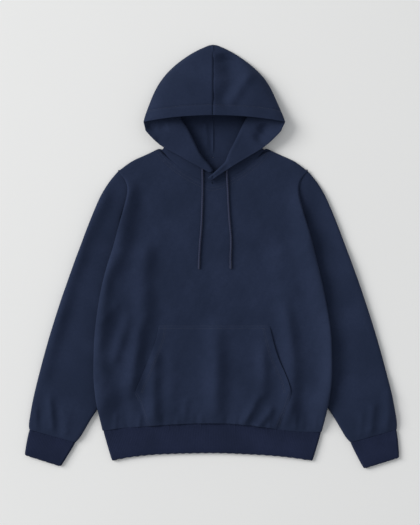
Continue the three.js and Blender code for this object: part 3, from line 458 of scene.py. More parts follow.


# worn: paler colour of wear and painted highlight on raised edges and rib crests, also the sheen tint.
FLEECE = KnitFinish("fleece", "fleece", base=(37, 46, 69), deep=(31, 40, 61), worn=(62, 73, 100))
RIB = KnitFinish(
    "rib_knit", "rib", base=(31, 38, 62), deep=(26, 33, 54), worn=(53, 61, 90),
    wale=2.0, course=1.1, relief=0.16, fuzz=0.14, sheen=0.28,
)
# deep: painted shade in the grooves between the braid's strands.
CORD = CordFinish("drawcord_braid", "drawcord", base=(50, 57, 86), deep=(22, 26, 44))
THREAD = ThreadFinish("sewing_thread", "fleece", base=(38, 47, 70))
FLOOR = FloorFinish("pale_board", base=(241, 240, 238))


def piece_from(form: bmesh.types.BMesh, name: str) -> bpy.types.Object:
    """Turns a form into an object at the origin, puts it in the scene and frees the form.

    Args:
        form: The finished form.
        name: The name of the object and its mesh.

    Returns:
        The new object.
    """
    mesh = bpy.data.meshes.new(name)
    form.to_mesh(mesh)
    form.free()
    piece = bpy.data.objects.new(name, mesh)
    bpy.context.scene.collection.objects.link(piece)
    return piece


def dress(piece: bpy.types.Object, finish: "KnitFinish | ThreadFinish | CordFinish") -> None:
    """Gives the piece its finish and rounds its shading.

    Args:
        piece: The finished piece.
        finish: What it is made of.
    """
    piece.data.materials.clear()
    piece.data.materials.append(finish.material())
    piece.data.shade_smooth()
    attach(piece, "root")


def apply_modifiers(piece: bpy.types.Object) -> None:
    """Turns the piece's modifiers into its own mesh."""
    graph = bpy.context.evaluated_depsgraph_get()
    done = bpy.data.meshes.new_from_object(piece.evaluated_get(graph))
    piece.modifiers.clear()
    piece.data = done


def read_points(mesh: bpy.types.Mesh) -> np.ndarray:
    """All the mesh's vertices, one row each."""
    places = np.empty(len(mesh.vertices) * 3, dtype=np.float64)
    mesh.vertices.foreach_get("co", places)
    return places.reshape(-1, 3)


def write_points(mesh: bpy.types.Mesh, points: np.ndarray) -> None:
    """Puts moved vertices back into the mesh."""
    mesh.vertices.foreach_set("co", points.astype(np.float64).ravel())
    mesh.update()


def tree_of(piece: bpy.types.Object) -> BVHTree:
    """A search tree of the piece's faces."""
    form = bmesh.new()
    form.from_mesh(piece.data)
    tree = BVHTree.FromBMesh(form)
    form.free()
    return tree


@dataclass(frozen=True)
class Cut:
    """The flat cut of a piece: width and length in metres, and the real area of its outline."""

    width: float
    length: float
    area: float


@dataclass
class ClothPiece:
    """One sewn piece of cloth: the CAD wall, smoothed, creased and dressed. Tables are in mm."""

    node: str
    finish: KnitFinish
    cut: Cut
    levels: int = 3
    grain: float = 0.0
    upper_from: float = 0.0
    upper_to: float = 0.0
    creases: tuple[Crease, ...] = ()
    ripples: tuple[Ripple, ...] = ()
    rests_on: tuple[str, ...] = ()
    flat_angle: float = 60.0
    thickness: float = 2.8
    seam_meet: float = 0.35
    edge_round: float = 0.8
    fine_from: float = 0.0
    piece: bpy.types.Object | None = field(default=None, init=False)

    def copied_wall(self) -> bpy.types.Object:
        """Copies the CAD wall, welds it and joins its triangles into quads.

        Returns:
            The coarse piece.
        """
        form = bmesh.new()
        form.from_mesh(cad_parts[self.node].data)
        bmesh.ops.remove_doubles(form, verts=form.verts, dist=WELD)
        bmesh.ops.join_triangles(
            form, faces=form.faces, angle_face_threshold=math.radians(self.flat_angle),
            angle_shape_threshold=SQUARENESS,
        )
        self.meet_seams(form)
        self.shape_wall(form)
        return piece_from(form, f"{self.node}_cloth")

    def cut_faces(self, form: bmesh.types.BMesh) -> list[bmesh.types.BMFace]:
        """The faces across the wall's thickness, at its seams and free edges.

        Args:
            form: The coarse wall.

        Returns:
            The faces.
        """
        low, high = ((1.0 + way * WALL_LEEWAY) * self.thickness * MM for way in (-1, 1))
        found = []
        for face in form.faces:
            if len(face.edges) != 4:
                continue
            lengths = [low < edge.calc_length() < high for edge in face.edges]
            through = (lengths[0] and lengths[2]) or (lengths[1] and lengths[3])
            steep = [edge for edge in face.edges if edge.calc_face_angle(0.0) > STEEP_TURN]
            if through and len(steep) >= 2:
                found.append(face)
        return found

    def meet_seams(self, form: bmesh.types.BMesh) -> None:
        """Pushes the cut edges out until sewn neighbours meet, and rounds them.

        Args:
            form: The coarse wall.
        """
        cuts = self.cut_faces(form)
        outward: dict[bmesh.types.BMVert, Vector] = {}
        for face in cuts:
            for vert in face.verts:
                outward[vert] = outward.get(vert, Vector()) + face.normal
        for vert, direction in outward.items():
            if direction.length > 0.0:
                vert.co += direction.normalized() * self.meet_at(vert.co) * MM
        kept = set(cuts)
        rims = [
            edge for face in cuts for edge in face.edges
            if sum(other in kept for other in edge.link_faces) == 1
            or edge.calc_face_angle(0.0) > CORNER_TURN
        ]
        bmesh.ops.bevel(
            form, geom=list(set(rims)), offset=self.edge_round * MM, offset_type="OFFSET", segments=1,
            profile=0.5, affect="EDGES", material=-1, clamp_overlap=True,
        )

    def meet_at(self, place: Vector) -> float:
        """How far the cut edge is pushed out at one place, in mm."""
        return self.seam_meet

    def shape_wall(self, form: bmesh.types.BMesh) -> None:
        """Changes the coarse wall before it is smoothed. Plain cloth needs no change."""

    def smooth(self, piece: bpy.types.Object) -> None:
        """Rounds the wall and its edges by subdivision."""
        rounder = piece.modifiers.new("round_cloth", "SUBSURF")
        rounder.levels = self.levels
        rounder.render_levels = self.levels
        apply_modifiers(piece)
        if self.fine_from > 0.0:
            self.refine_upper(piece)

    def refine_upper(self, piece: bpy.types.Object) -> None:
        """Divides the faces that look up once more, for creases narrower than the grid.

        Args:
            piece: The smoothed piece.
        """
        form = bmesh.new()
        form.from_mesh(piece.data)
        upper = [
            face for face in form.faces
            if face.normal.z > LOOKS_UP and face.calc_center_median().z > self.fine_from * MM
        ]
        edges = list({edge for face in upper for edge in face.edges})
        bmesh.ops.subdivide_edges(form, edges=edges, cuts=1, use_grid_fill=True)
        form.to_mesh(piece.data)
        form.free()

    def upper_share(self, points: np.ndarray) -> np.ndarray:
        """How far each point belongs to the layer that faces up."""
        if self.upper_to <= self.upper_from:
            return np.ones(len(points))
        return ease((points[:, 2] / MM - self.upper_from) / (self.upper_to - self.upper_from))

    def settle(self, points: np.ndarray) -> np.ndarray:
        """Lays the creases and ripples into the cloth.

        Args:
            points: The smoothed wall's points.

        Returns:
            The points of the cloth as it lies.
        """
        settled = points.copy()
        share = self.upper_share(points)
        for form in (*self.creases, *self.ripples):
            settled[:, 2] += form.lift(points[:, :2]) * form.share(share)
        return settled

    def wear(self, points: np.ndarray) -> np.ndarray:
        """How far each point is paled by wear and painted highlight, from 0 to 1."""
        return np.zeros(len(points))

    def chart_grain(self, mesh: bpy.types.Mesh, points: np.ndarray) -> None:
        """Gives the mesh a chart in metres that follows the run of the knit.

        Args:
            mesh: The finished mesh.
            points: Its points.
        """
        turn = math.radians(self.grain)
        across = points[:, 0] * math.cos(turn) + points[:, 1] * math.sin(turn)
        along = -points[:, 0] * math.sin(turn) + points[:, 1] * math.cos(turn)
        corners = np.empty(len(mesh.loops), dtype=np.int32)
        mesh.loops.foreach_get("vertex_index", corners)
        chart = mesh.uv_layers.new(name="grain")
        places = np.stack([across, along], axis=1)[corners]
        chart.uv.foreach_set("vector", places.astype(np.float32).ravel())

    def build(self) -> bpy.types.Object:
        """Returns:
            The finished piece.
        """
        piece = self.copied_wall()
        self.smooth(piece)
        points = self.settle(read_points(piece.data))
        write_points(piece.data, points)
        self.chart_grain(piece.data, points)
        # Share of paler colour on each point: partly wear, partly painted highlight on raised places.
        rubbed_and_lit = piece.data.attributes.new("wear", "FLOAT", "POINT")
        rubbed_and_lit.data.foreach_set("value", self.wear(points).astype(np.float32))
        dress(piece, self.finish)
        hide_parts(self.node)
        self.piece = piece
        log.info("%s: %d faces", piece.name, len(piece.data.polygons))
        return piece


@dataclass
class BodyPanel(ClothPiece):
    """The front or the back panel."""

    edge_half: float = 266.0
    # Width and strength of the paler side edges: wear with painted highlight.
    rub_width: float = 60.0
    rub: float = 0.25

    def wear(self, points: np.ndarray) -> np.ndarray:
        """Paler towards the rolled side edges: partly wear, partly painted highlight where the rolls catch
        the light.
        """
        side = np.abs(points[:, 0]) / MM
        return self.rub * ease((side - self.edge_half + self.rub_width) / self.rub_width)


@dataclass
class Pocket(ClothPiece):
    """The kangaroo pocket, pressed flat where it is sewn down and loose at its two openings."""

    sewn: tuple[tuple[Plan, ...], ...] = ()
    press: float = 2.4
    press_width: float = 7.0

    def settle(self, points: np.ndarray) -> np.ndarray:
        """Lays the creases in and presses the sewn edges into the front."""
        settled = super().settle(points)
        for line in self.sewn:
            distance, _ = nearest_on_line(points[:, :2], np.array(line) * MM)
            settled[:, 2] -= self.press * MM * np.exp(-((distance / MM / self.press_width) ** 2))
        return settled


@dataclass
class Sleeve(ClothPiece):
    """One sleeve, a laid tube from the armhole to the cuff."""


@dataclass
class RibBand(ClothPiece):
    """A doubled rib tube: each rib of the CAD wall is made round and the valleys between them narrow."""

    height: float = 8.8
    crest: float = 0.85
    valley: float = -0.25
    seam_way: Plan = (0.0, 1.0)
    raised: float = 0.3
    level: float = 0.05
    # Paleness of the rib crests: wear with painted highlight.
    rub: float = 0.45

    def meet_seams(self, form: bmesh.types.BMesh) -> None:
        """Pushes the seam end of the tube up to its neighbour.

        Args:
            form: The coarse wall.
        """
        way = Vector((*self.seam_way, 0.0)).normalized()
        ends = {vert for face in form.faces if face.normal.dot(way) > 0.85 for vert in face.verts}
        for vert in ends:
            vert.co += way * self.seam_meet * MM

    def shape_wall(self, form: bmesh.types.BMesh) -> None:
        """Exaggerates the ribs, so that they keep their height when the wall is smoothed.

        Args:
            form: The coarse wall.
        """
        for vert in form.verts:
            above = vert.co.z / MM - self.height
            if above > self.raised:
                vert.co.z = (self.height + self.crest) * MM
            elif abs(above) < self.level:
                vert.co.z = (self.height + self.valley) * MM

    def wear(self, points: np.ndarray) -> np.ndarray:
        """The crests of the ribs are paler: partly wear, partly painted highlight on their raised tops."""
        return self.rub * ease((points[:, 2] / MM - self.height) / 0.8)


@dataclass
class Hood(ClothPiece):
    """One half of the hood, with the hem of the face opening turned in and stitched down."""

    side: Side = Side.LEFT
    hem_width: float = HOOD_HEM
    hem_raise: float = 1.0
    groove: float = 1.4
    seam_depth: float = 1.8
    seam_width: float = 2.0
    tape_raise: float = 2.2
    tape_end: float = 236.0
    tape_fade: float = 14.0
    low: float = 5.0
    brow: float = 256.0
    neck_meet: float = 1.9
    nape_meet: float = 0.9
    back_meet: float = 0.6
    brim: tuple[Plan, ...] = ()

    def settle(self, points: np.ndarray) -> np.ndarray:
        """Lays the creases in and raises the doubled hem along the face opening.

        Args:
            points: The smoothed wall's points.

        Returns:
            The settled points.
        """
        settled = super().settle(points)
        line = np.array(self.brim) * MM
        distance, _ = nearest_on_line(points[:, :2], line)
        brim_height = np.interp(np.abs(points[:, 0]), np.abs(line[:, 0]), line[:, 1])
        above = self.upper_share(points) * ease((points[:, 1] - brim_height + 3.0 * MM) / (2.0 * MM))
        hem = ease((self.hem_width - distance / MM) / 2.5)
        groove = np.exp(-(((distance / MM - self.hem_width) / 1.8) ** 2))
        settled[:, 2] += (self.hem_raise * hem - self.groove * groove) * above * MM
        upper = self.upper_share(points)
        seam = np.exp(-((points[:, 0] / MM / self.seam_width) ** 2))
        tape = self.tape_raise * (1.0 - upper) * ease((points[:, 1] / MM - self.tape_end) / self.tape_fade)
        settled[:, 2] += (tape - self.seam_depth * upper) * seam * MM
        return settled

    def meet_at(self, place: Vector) -> float:
        """The neck seam has the widest gap to close, and the centre seam the narrowest."""
        if abs(place.x) < 2.0 * MM:
            return self.seam_meet if place.z > self.low * MM else self.back_meet
        if place.y > self.brow * MM:
            return 0.0
        return self.neck_meet if place.z > self.low * MM else self.nape_meet


@dataclass(frozen=True)
class StitchRow:
    """A row of machine stitches along a line in plan, in mm."""

    line: tuple[Plan, ...]
    beside: tuple[float, ...] = (0.0,)
    length: float = 2.7
    pitch: float = 3.4
    thread: float = 0.3
    proud: float = 0.1


@dataclass
class Stitching:
    """All the stitches that lie on one piece."""

    name: str
    under: ClothPiece
    rows: tuple[StitchRow, ...]
    finish: ThreadFinish = THREAD

    def places(self, row: StitchRow, beside: float) -> list[tuple[Vector, Vector]]:
        """The two ends in plan of each stitch of one row.

        Args:
            row: The row's line and sizes.
            beside: How far the stitches stand beside the line, in mm.

        Returns:
            A pair of places for each stitch.
        """
        line = np.array(row.line) * MM
        steps = np.linalg.norm(np.diff(line, axis=0), axis=1)
        before = np.concatenate([[0.0], np.cumsum(steps)])
        fine = np.arange(0.0, before[-1], 0.5 * MM)
        bent = np.stack([np.interp(fine, before, line[:, axis]) for axis in (0, 1)], axis=1)
        window = 9
        padded = np.pad(bent, ((window, window), (0, 0)), mode="reflect", reflect_type="odd")
        kernel = np.ones(2 * window + 1) / (2 * window + 1)
        soft = np.stack([np.convolve(padded[:, axis], kernel, "valid") for axis in (0, 1)], axis=1)
        run = np.gradient(soft, axis=0)
        run /= np.linalg.norm(run, axis=1)[:, None]
        aside = soft + beside * MM * np.stack([-run[:, 1], run[:, 0]], axis=1)
        ends = []
        for start in np.arange(0.0, fine[-1] - row.length * MM, row.pitch * MM):
            first = [np.interp(start, fine, aside[:, axis]) for axis in (0, 1)]
            last = [np.interp(start + row.length * MM, fine, aside[:, axis]) for axis in (0, 1)]
            ends.append((Vector((*first, 0.0)), Vector((*last, 0.0))))
        return ends

    def bead(self, form: bmesh.types.BMesh, row: StitchRow, hits: list[tuple]) -> None:
        """Adds one stitch, unless an end misses the cloth or the cloth drops away between the ends.

        Args:
            form: The form that holds all the stitches.
            row: The row's sizes.
            hits: What the cloth's search tree found below each of the two ends.
        """
        (start, start_up, _, _), (end, end_up, _, _) = hits
        if start is None or end is None or abs(end.z - start.z) > row.length * MM:
            return
        run = end - start
        normal = (start_up + end_up).normalized()
        across = normal.cross(run).normalized()
        radius = row.thread * MM
        middle = (start + end) / 2.0 + normal * radius * row.proud
        turn = Matrix((across, run.normalized(), normal)).transposed().to_4x4()
        size = Matrix.Diagonal((radius, run.length / 2.0, radius, 1.0))
        lie = Matrix.Rotation(math.pi / 2, 4, "X")
        bmesh.ops.create_uvsphere(
            form, u_segments=6, v_segments=5, radius=1.0,
            matrix=Matrix.Translation(middle) @ turn @ size @ lie,
        )

    def build(self) -> bpy.types.Object:
        """Sews the rows: each stitch is a small round bead of thread half sunk in the cloth.

        Returns:
            The finished stitching.
        """
        tree = tree_of(self.under.piece)
        form = bmesh.new()
        down = Vector((0.0, 0.0, -1.0))
        for row in self.rows:
            for beside in row.beside:
                for ends in self.places(row, beside):
                    self.bead(form, row, [tree.ray_cast(end + OVERHEAD, down) for end in ends])
        bmesh.ops.recalc_face_normals(form, faces=form.faces)
        piece = piece_from(form, self.name)
        dress(piece, self.finish)
        log.info("%s: %d faces", piece.name, len(piece.data.polygons))
        return piece


@dataclass
class Drawcord:
    """One free end of the drawcord: a braided tube with a whipped tip. Sizes are in mm."""

    side: Side
    route: tuple[tuple[float, float, float], ...]
    diameter: float = 4.4
    whipping: float = 19.0
    whipping_grow: float = 0.35
    whipping_pitch: float = 1.4
    strands: int = 8
    braid_pitch: float = 9.0
    braid_depth: float = 0.22
    around: int = 24
    step: float = 0.7
    path_every: int = 4
    finish: CordFinish = CORD

    def centreline(self) -> np.ndarray:
        """Evenly spaced points in metres on a smooth line through the route.

        Returns:
            One row for each point.
        """
        knots = np.array(self.route) * MM
        ends = [2 * knots[0] - knots[1], *knots, 2 * knots[-1] - knots[-2]]
        fine = []
        for index in range(1, len(ends) - 2):
            before, start, end, after = (np.array(ends[index + offset]) for offset in (-1, 0, 1, 2))
            for share in np.linspace(0.0, 1.0, 24, endpoint=False):
                fine.append(0.5 * (
                    2 * start + (end - before) * share
                    + (2 * before - 5 * start + 4 * end - after) * share**2
                    + (3 * start - before - 3 * end + after) * share**3
                ))
        fine.append(knots[-1])
        line = np.array(fine)
        reach = np.concatenate([[0.0], np.cumsum(np.linalg.norm(np.diff(line, axis=0), axis=1))])
        even = np.linspace(0.0, reach[-1], round(reach[-1] / (self.step * MM)))
        return np.stack([np.interp(even, reach, line[:, axis]) for axis in range(3)], axis=1)

    def reach_at(self, gone: float, left: float, angle: float) -> tuple[float, float]:
        """How far the cord's face stands from its middle line at one place.

        Args:
            gone: Length from the start of the cord, in metres.
            left: Length to its free end, in metres.
            angle: The angle round the cord.

        Returns:
            The distance in metres, and the height of the plait from -1 to 1.
        """
        half = self.strands / 2
        turns = 2.0 * math.pi * gone / (self.braid_pitch * MM)
        plait = math.sin(half * angle + turns) * math.sin(half * angle - turns)
        whipped = left < self.whipping * MM
        if whipped:
            plait = math.sin(2.0 * math.pi * left / (self.whipping_pitch * MM))
        radius = self.diameter * MM / 2.0
        relief = self.braid_depth * MM * (plait - 1.0) / 2.0
        grown = self.whipping_grow * MM / 2.0 if whipped else 0.0
        here = radius + grown + relief * (0.5 if whipped else 1.0)
        for reach in (gone, left):
            if reach < radius:
                here *= math.sqrt(max(0.0, 1.0 - (1.0 - reach / radius) ** 2))
        return here, plait

    def braid(self, line: np.ndarray, length: float) -> bmesh.types.BMesh:
        """Wraps a grid round the middle line and plaits its face.

        Args:
            line: Points of the middle line.
            length: The line's length in metres.

        Returns:
            The finished form, with the height of its strands as an attribute that the material uses to
            paint shade between them.
        """
        run = np.gradient(line, axis=0)
        run /= np.linalg.norm(run, axis=1)[:, None]
        aside = np.cross(run, [0.0, 0.0, 1.0])
        aside /= np.linalg.norm(aside, axis=1)[:, None]
        above = np.cross(aside, run)
        form = bmesh.new()
        bmesh.ops.create_grid(form, x_segments=len(line) - 1, y_segments=self.around, size=0.5)
        strand_shade_layer = form.verts.layers.float.new("strand")
        last = len(line) - 1
        for vert in form.verts:
            station = min(round((vert.co.x + 0.5) * last), last)
            angle = 2.0 * math.pi * (vert.co.y + 0.5)
            gone = length * station / last
            here, plait = self.reach_at(gone, length - gone, angle)
            outward = math.cos(angle) * aside[station] + math.sin(angle) * above[station]
            # Plait height, kept for the painted shade between strands.
            vert[strand_shade_layer] = 0.5 + plait / 2.0
            vert.co = Vector(line[station] + here * outward)
        bmesh.ops.remove_doubles(form, verts=form.verts, dist=WELD)
        bmesh.ops.recalc_face_normals(form, faces=form.faces)
        return form

    def build(self) -> bpy.types.Object:
        """Returns:
            The finished cord.
        """
        line = self.centreline()
        length = float(np.linalg.norm(np.diff(line, axis=0), axis=1).sum())
        piece = piece_from(self.braid(line, length), f"drawcord_{self.side.word}_braid")
        dress(piece, self.finish)
        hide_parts(f"drawcord_{self.side.word}")
        log.info("%s: %.3f m long", piece.name, length)
        return piece


@dataclass
class Studio:
    """The camera straight above, the pale floor and the soft lights."""

    lens: float = 85.0
    sensor: float = 36.0
    middle: Plan = (-6.9, -13.8)
    floor_size: float = 9.0
    floor_cells: int = 8
    stand: float = 0.01
    sky: float = 0.49
    sky_colour: Colour = (0.94, 0.97, 1.0)
    key_place: tuple[float, float, float] = (-8.6, 3.6, 5.7)
    key_width: float = 5.6
    key_power: float = 990.0

    def camera(self) -> None:
        """Sets the camera so that one pixel of the photograph is 2.3 mm on the cloth."""
        view = bpy.data.cameras.new("camera")
        view.lens = self.lens
        view.sensor_width = self.sensor
        eye = bpy.data.objects.new("camera", view)
        distance = self.lens / self.sensor * PHOTO_HEIGHT * PIXEL
        eye.location = (self.middle[0] * MM, self.middle[1] * MM, distance + self.stand)
        bpy.context.scene.collection.objects.link(eye)
        bpy.context.scene.camera = eye

    def floor(self) -> None:
        """Lays the floor."""
        form = bmesh.new()
        bmesh.ops.create_grid(
            form, x_segments=self.floor_cells, y_segments=self.floor_cells, size=self.floor_size / 2.0,
        )
        ground = piece_from(form, "floor")
        ground.data.materials.append(FLOOR.material())

    def lamp(self, name: str, place: Sequence[float], width: float, power: float) -> None:
        """Hangs a soft square light that shines at the garment.

        Args:
            name: The light's name.
            place: Where it hangs, in metres.
            width: The side of its square, in metres.
            power: Its power in watts.
        """
        glow = bpy.data.lights.new(name, "AREA")
        glow.shape = "SQUARE"
        glow.size = width
        glow.energy = power
        lamp = bpy.data.objects.new(name, glow)
        lamp.location = place
        lamp.rotation_mode = "QUATERNION"
        lamp.rotation_quaternion = (-Vector(place)).to_track_quat("-Z", "Y")
        bpy.context.scene.collection.objects.link(lamp)

    def build(self) -> None:
        """Sets up the camera, the floor and the lights."""
        self.camera()
        self.floor()
        self.lamp("key", self.key_place, self.key_width, self.key_power)
        world = bpy.data.worlds.new("studio")
        world.use_nodes = True
        background = world.node_tree.nodes["Background"]
        background.inputs["Color"].default_value = (*self.sky_colour, 1.0)
        background.inputs["Strength"].default_value = self.sky
        bpy.context.scene.world = world
        bpy.context.scene.view_settings.view_transform = "Standard"


CORD_ROUTES = {
    Side.LEFT: (
        (-23.6, 207.0, 14.6), (-24.2, 200.0, 13.8), (-24.3, 190.0, 13.2), (-24.1, 178.0, 12.8),
        (-23.9, 155.0, 11.9), (-24.4, 130.0, 11.9), (-25.3, 100.0, 11.9), (-26.2, 78.0, 11.9),
        (-27.6, 56.3, 11.9), (-29.6, 34.0, 11.9), (-31.0, 12.0, 11.9), (-32.0, -8.0, 11.9),
        (-32.4, -28.7, 11.9),
    ),
    Side.RIGHT: (
        (31.0, 205.0, 18.4), (31.2, 198.0, 16.6), (31.8, 188.0, 14.4), (32.8, 172.0, 12.6),
        (34.0, 152.9, 11.9), (35.0, 130.0, 11.9), (36.2, 108.0, 11.9), (37.8, 84.0, 11.9),
        (39.8, 62.0, 11.9), (41.4, 42.5, 11.9), (41.4, 22.0, 11.9), (40.5, 3.4, 11.9),
        (40.7, -28.7, 11.9),
    ),
}

BODY_CREASES = (
    Crease((-150.0, 44.0), (-160.0, -62.0), (-152.0, -182.0), 23.0, 11.6),
    Crease((-166.0, -132.0), (-174.0, -215.0), (-194.0, -336.0), 18.0, 11.6),
    Crease((-185.0, -120.0), (-214.0, -196.0), (-229.0, -256.0), 14.0, 6.1),
    Crease((-250.0, -90.0), (-260.0, -241.0), (-245.0, -382.0), 25.0, 9.4),
    Crease((-131.0, -202.0), (-137.0, -298.0), (-133.0, -404.0), 15.0, 9.6),
    Crease((3.0, -130.0), (8.0, -253.0), (3.0, -404.0), 22.0, 11.9),
    Crease((111.0, -186.0), (116.0, -266.0), (111.0, -340.0), 14.0, 6.1),
    Crease((109.0, -310.0), (86.0, -356.0), (62.0, -396.0), 10.0, 6.7),
    Crease((143.0, -340.0), (118.0, -372.0), (97.0, -400.0), 9.0, 6.1),
    Crease((156.0, -78.0), (180.0, -250.0), (166.0, -402.0), 18.0, 11.6),
    Crease((266.0, -110.0), (272.0, -230.0), (256.0, -370.0), 20.0, 8.0),
    Crease((-188.0, 190.0), (-203.0, 66.0), (-242.0, -62.0), 20.0, 10.2),
    Crease((-228.0, 20.0), (-250.0, -100.0), (-262.0, -250.0), 14.0, 6.1),
    Crease((198.0, 166.0), (214.0, 50.0), (258.0, -140.0), 26.0, 10.2),
    Crease((150.0, 34.0), (164.0, -43.0), (167.0, -110.0), 27.0, 4.9),
    Crease((-60.0, -318.0), (-64.0, -350.0), (-68.0, -392.0), 9.0, 2.6),
    Crease((-97.0, -214.0), (-94.0, -306.0), (-98.0, -392.0), 15.0, 2.3),
    Crease((-212.0, -104.0), (-236.0, -128.0), (-250.0, -160.0), 9.0, 2.3),
)

HEM_PUCKERS = tuple(
    Crease((across, -404.0), (across + lean / 2.0, -384.0), (across + lean, -358.0), width, height)
    for across, lean, width, height in (
        (-226.0, 4.0, 6.0, 1.5), (-197.0, -3.0, 7.0, -1.0), (-172.0, 6.0, 6.0, 1.8),
        (-112.0, -4.0, 5.0, -1.4), (-84.0, 5.0, 6.0, 1.6), (-40.0, 3.0, 5.0, -1.3),
        (-22.0, -5.0, 6.0, 1.4), (28.0, 4.0, 5.0, -1.4),
        (47.0, 8.0, 6.0, 1.7), (82.0, 9.0, 5.0, -1.2), (126.0, 8.0, 5.0, 1.5), (154.0, 7.0, 6.0, -1.3),
        (188.0, 3.0, 6.0, 1.6), (214.0, 2.0, 7.0, -1.2), (236.0, 0.0, 6.0, 1.4),
    )
)

SLEEVE_CREASES = {
    Side.LEFT: (
        Crease((-226.0, 172.0), (-274.0, 76.0), (-328.0, -72.0), 17.0, 7.0),
        Crease((-310.0, -24.0), (-358.0, -165.0), (-394.0, -308.0), 17.0, 7.0),
        Crease((-380.0, -310.0), (-371.0, -356.0), (-368.0, -412.0), 8.0, 3.6),
        Crease((-404.0, -340.0), (-406.0, -368.0), (-404.0, -404.0), 7.0, 2.0),
        Crease((-345.0, -340.0), (-342.0, -376.0), (-338.0, -420.0), 9.0, 1.8),
    ),
    Side.RIGHT: (
        Crease((206.0, 186.0), (244.0, 40.0), (282.0, -130.0), 26.0, -3.0),
        Crease((272.0, -50.0), (298.0, -190.0), (290.0, -326.0), 24.0, -4.0),
        Crease((300.0, 60.0), (336.0, -60.0), (352.0, -190.0), 20.0, 1.6),
        Crease((403.0, -300.0), (402.0, -352.0), (396.0, -404.0), 10.0, 3.0),
        Crease((370.0, -330.0), (366.0, -366.0), (362.0, -412.0), 9.0, 3.0),
        Crease((344.0, -352.0), (340.0, -384.0), (338.0, -420.0), 8.0, 1.8),
    ),
}

HOOD_CREASES = {
    Side.LEFT: (
        Crease((-30.0, 430.0), (-60.0, 390.0), (-72.0, 345.0), 26.0, 1.6),
        Crease((-110.0, 400.0), (-118.0, 372.0), (-118.0, 344.0), 16.0, -1.4),
        Crease((-156.0, 312.0), (-152.0, 284.0), (-122.0, 260.0), 7.0, 3.4),
        Crease((-152.0, 306.0), (-132.0, 296.0), (-104.0, 300.0), 10.0, -5.0),
        Crease((-62.0, 300.0), (-46.0, 262.0), (-18.0, 214.0), 6.0, 1.6),
        Crease((-19.0, 316.0), (-16.0, 280.0), (-12.0, 244.0), 5.0, 2.2, layer=Layer.UNDER),
    ),
    Side.RIGHT: (
        Crease((18.0, 480.0), (40.0, 402.0), (20.0, 332.0), 26.0, -13.0),
        Crease((96.0, 428.0), (62.0, 386.0), (30.0, 334.0), 14.0, 8.5),
        Crease((98.0, 440.0), (112.0, 396.0), (116.0, 350.0), 20.0, 1.4),
        Crease((160.0, 310.0), (156.0, 286.0), (120.0, 258.0), 9.0, 2.6),
        Crease((118.0, 310.0), (116.0, 290.0), (98.0, 262.0), 13.0, -8.0),
        Crease((44.0, 208.0), (14.0, 190.0), (-16.0, 172.0), 15.0, -3.0),
        Crease((66.0, 300.0), (52.0, 262.0), (20.0, 212.0), 6.0, 1.6),
    ),
}

POCKET_OPENINGS = (
    (
        (-124.9, -160.0), (-128.8, -187.4), (-139.6, -215.0), (-150.2, -242.0), (-163.3, -272.5),
        (-173.6, -296.0), (-179.0, -312.0),
    ),
    (
        (130.2, -160.0), (136.8, -187.4), (143.8, -215.0), (153.6, -242.0), (168.6, -272.5),
        (176.6, -296.0), (179.0, -312.0),
    ),
)

POCKET_TOP = ((-124.0, -157.5), (0.0, -157.5), (129.0, -157.5))

POCKET_LOWER = (
    ((-180.5, -316.2), (-172.0, -334.0), (-163.6, -360.0), (-151.0, -394.0)),
    ((180.3, -316.2), (174.0, -334.0), (165.0, -360.0), (152.0, -394.0)),
)

NECK_SEAM = (
    (-118.0, 243.0), (-103.5, 225.2), (-82.8, 207.2), (-59.8, 191.4), (-32.2, 175.6),
    (-12.0, 167.2), (0.0, 164.4), (12.0, 167.2), (32.2, 175.6), (59.8, 191.4),
    (82.8, 207.2), (103.5, 225.2), (118.0, 243.0),
)

BRIM = {
    Side.LEFT: ((0.0, 321.5), (-60.0, 319.5), (-110.0, 314.5), (-145.0, 309.5), (-160.3, 307.0)),
    Side.RIGHT: ((0.0, 321.5), (60.0, 319.6), (110.0, 315.2), (145.0, 310.5), (166.3, 307.0)),
}

OPENING_ROWS = (13.5, 17.0)
LOWER_ROWS = (2.0, 7.0)
TOP_ROWS = (-2.2, -8.0)
NECK_ROWS = (-6.0, -12.5)

FRONT_RIPPLES = (Ripple(0.45, 90.0, 11), Ripple(0.2, 36.0, 12))


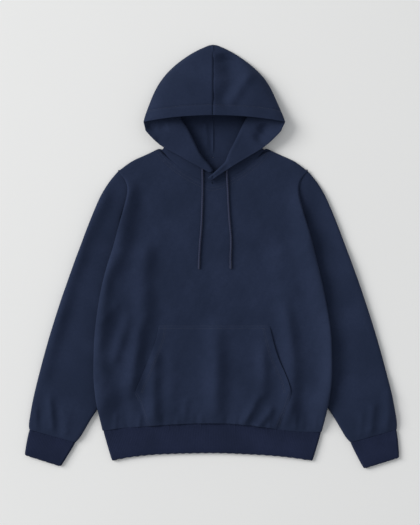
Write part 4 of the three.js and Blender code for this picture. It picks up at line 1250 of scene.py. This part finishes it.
@dataclass
class Hoodie:
    """The whole garment, built from the pieces that a maker sews."""

    pieces: dict[str, ClothPiece] = field(default_factory=dict)

    def add(self, cloth: ClothPiece) -> None:
        """Builds one piece and keeps it by its node's name."""
        cloth.build()
        self.pieces[cloth.node] = cloth

    def cords(self) -> None:
        """Lays the two drawcord ends."""
        for side in Side:
            Drawcord(side, CORD_ROUTES[side]).build()

    def body(self) -> None:
        """Lays the back, the front, the pocket and the waistband."""
        self.add(BodyPanel(
            "back_body", FLEECE, Cut(0.56, 0.66, 0.294), levels=2, seam_meet=0.6,
            rests_on=("sleeve_left", "sleeve_right"),
        ))
        self.add(BodyPanel(
            "front_body", FLEECE, Cut(0.57, 0.66, 0.306), levels=2, fine_from=7.5, seam_meet=1.1,
            creases=BODY_CREASES + HEM_PUCKERS, ripples=FRONT_RIPPLES, rests_on=("back_body",),
        ))
        self.add(Pocket(
            "pocket", FLEECE, Cut(0.37, 0.25, 0.072), levels=3, seam_meet=0.0, thickness=2.4,
            sewn=(POCKET_TOP, *POCKET_LOWER),
            creases=BODY_CREASES + HEM_PUCKERS, ripples=FRONT_RIPPLES, rests_on=("front_body",),
        ))
        self.add(RibBand(
            "hem_band", RIB, Cut(1.02, 0.07, 0.0695), levels=2, height=8.8, flat_angle=12.0,
            thickness=3.0, seam_meet=1.3,
        ))

    def arms(self) -> None:
        """Lays the sleeves and cuffs."""
        for side in Side:
            sign = side.value
            self.add(Sleeve(
                f"sleeve_{side.word}", FLEECE, Cut(0.42, 0.62, 0.155), levels=3, grain=sign * 20.0,
                upper_from=4.0, upper_to=7.5, creases=SLEEVE_CREASES[side],
                ripples=(Ripple(0.5, 70.0, 21 + sign),), seam_meet=0.8,
            ))
            self.add(RibBand(
                f"cuff_{side.word}", RIB, Cut(0.22, 0.065, 0.0137), levels=2, grain=sign * 15.0,
                height=9.0, flat_angle=12.0, thickness=3.0, seam_meet=0.8,
                seam_way=(-0.36 * sign, 0.93),
            ))

    def hood(self) -> None:
        """Spreads the two hood halves."""
        for side in Side:
            self.add(Hood(
                f"hood_{side.word}", FLEECE, Cut(0.3, 0.36, 0.066), levels=3, side=side,
                upper_from=8.0, upper_to=20.0, creases=HOOD_CREASES[side],
                ripples=(Ripple(0.5, 60.0, 31 + side.value),), brim=BRIM[side], seam_meet=0.1,
            ))

    def stitching(self) -> None:
        """Sews the rows of stitches that show."""
        sides = [
            StitchRow(line, tuple(turn * row for row in rows))
            for lines, rows in ((POCKET_OPENINGS, OPENING_ROWS), (POCKET_LOWER, LOWER_ROWS))
            for line, turn in zip(lines, (1, -1))
        ]
        top = StitchRow(POCKET_TOP, TOP_ROWS)
        neck = StitchRow(NECK_SEAM, NECK_ROWS)
        Stitching("pocket_stitches", self.pieces["pocket"], (*sides, top)).build()
        Stitching("neck_stitches", self.pieces["front_body"], (neck,)).build()
        for side in Side:
            Stitching(
                f"hood_hem_stitches_{side.word}", self.pieces[f"hood_{side.word}"],
                (StitchRow(BRIM[side], (side.value * HOOD_HEM,)),),
            ).build()

    def build(self) -> None:
        """Builds the garment piece by piece."""
        self.cords()
        self.body()
        self.arms()
        self.hood()
        self.stitching()


def main() -> None:
    """Builds the scene."""
    logging.basicConfig(level=logging.INFO, format="%(name)s: %(message)s")
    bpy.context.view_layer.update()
    Studio().build()
    Hoodie().build()


if __name__ == "__main__":
    main()
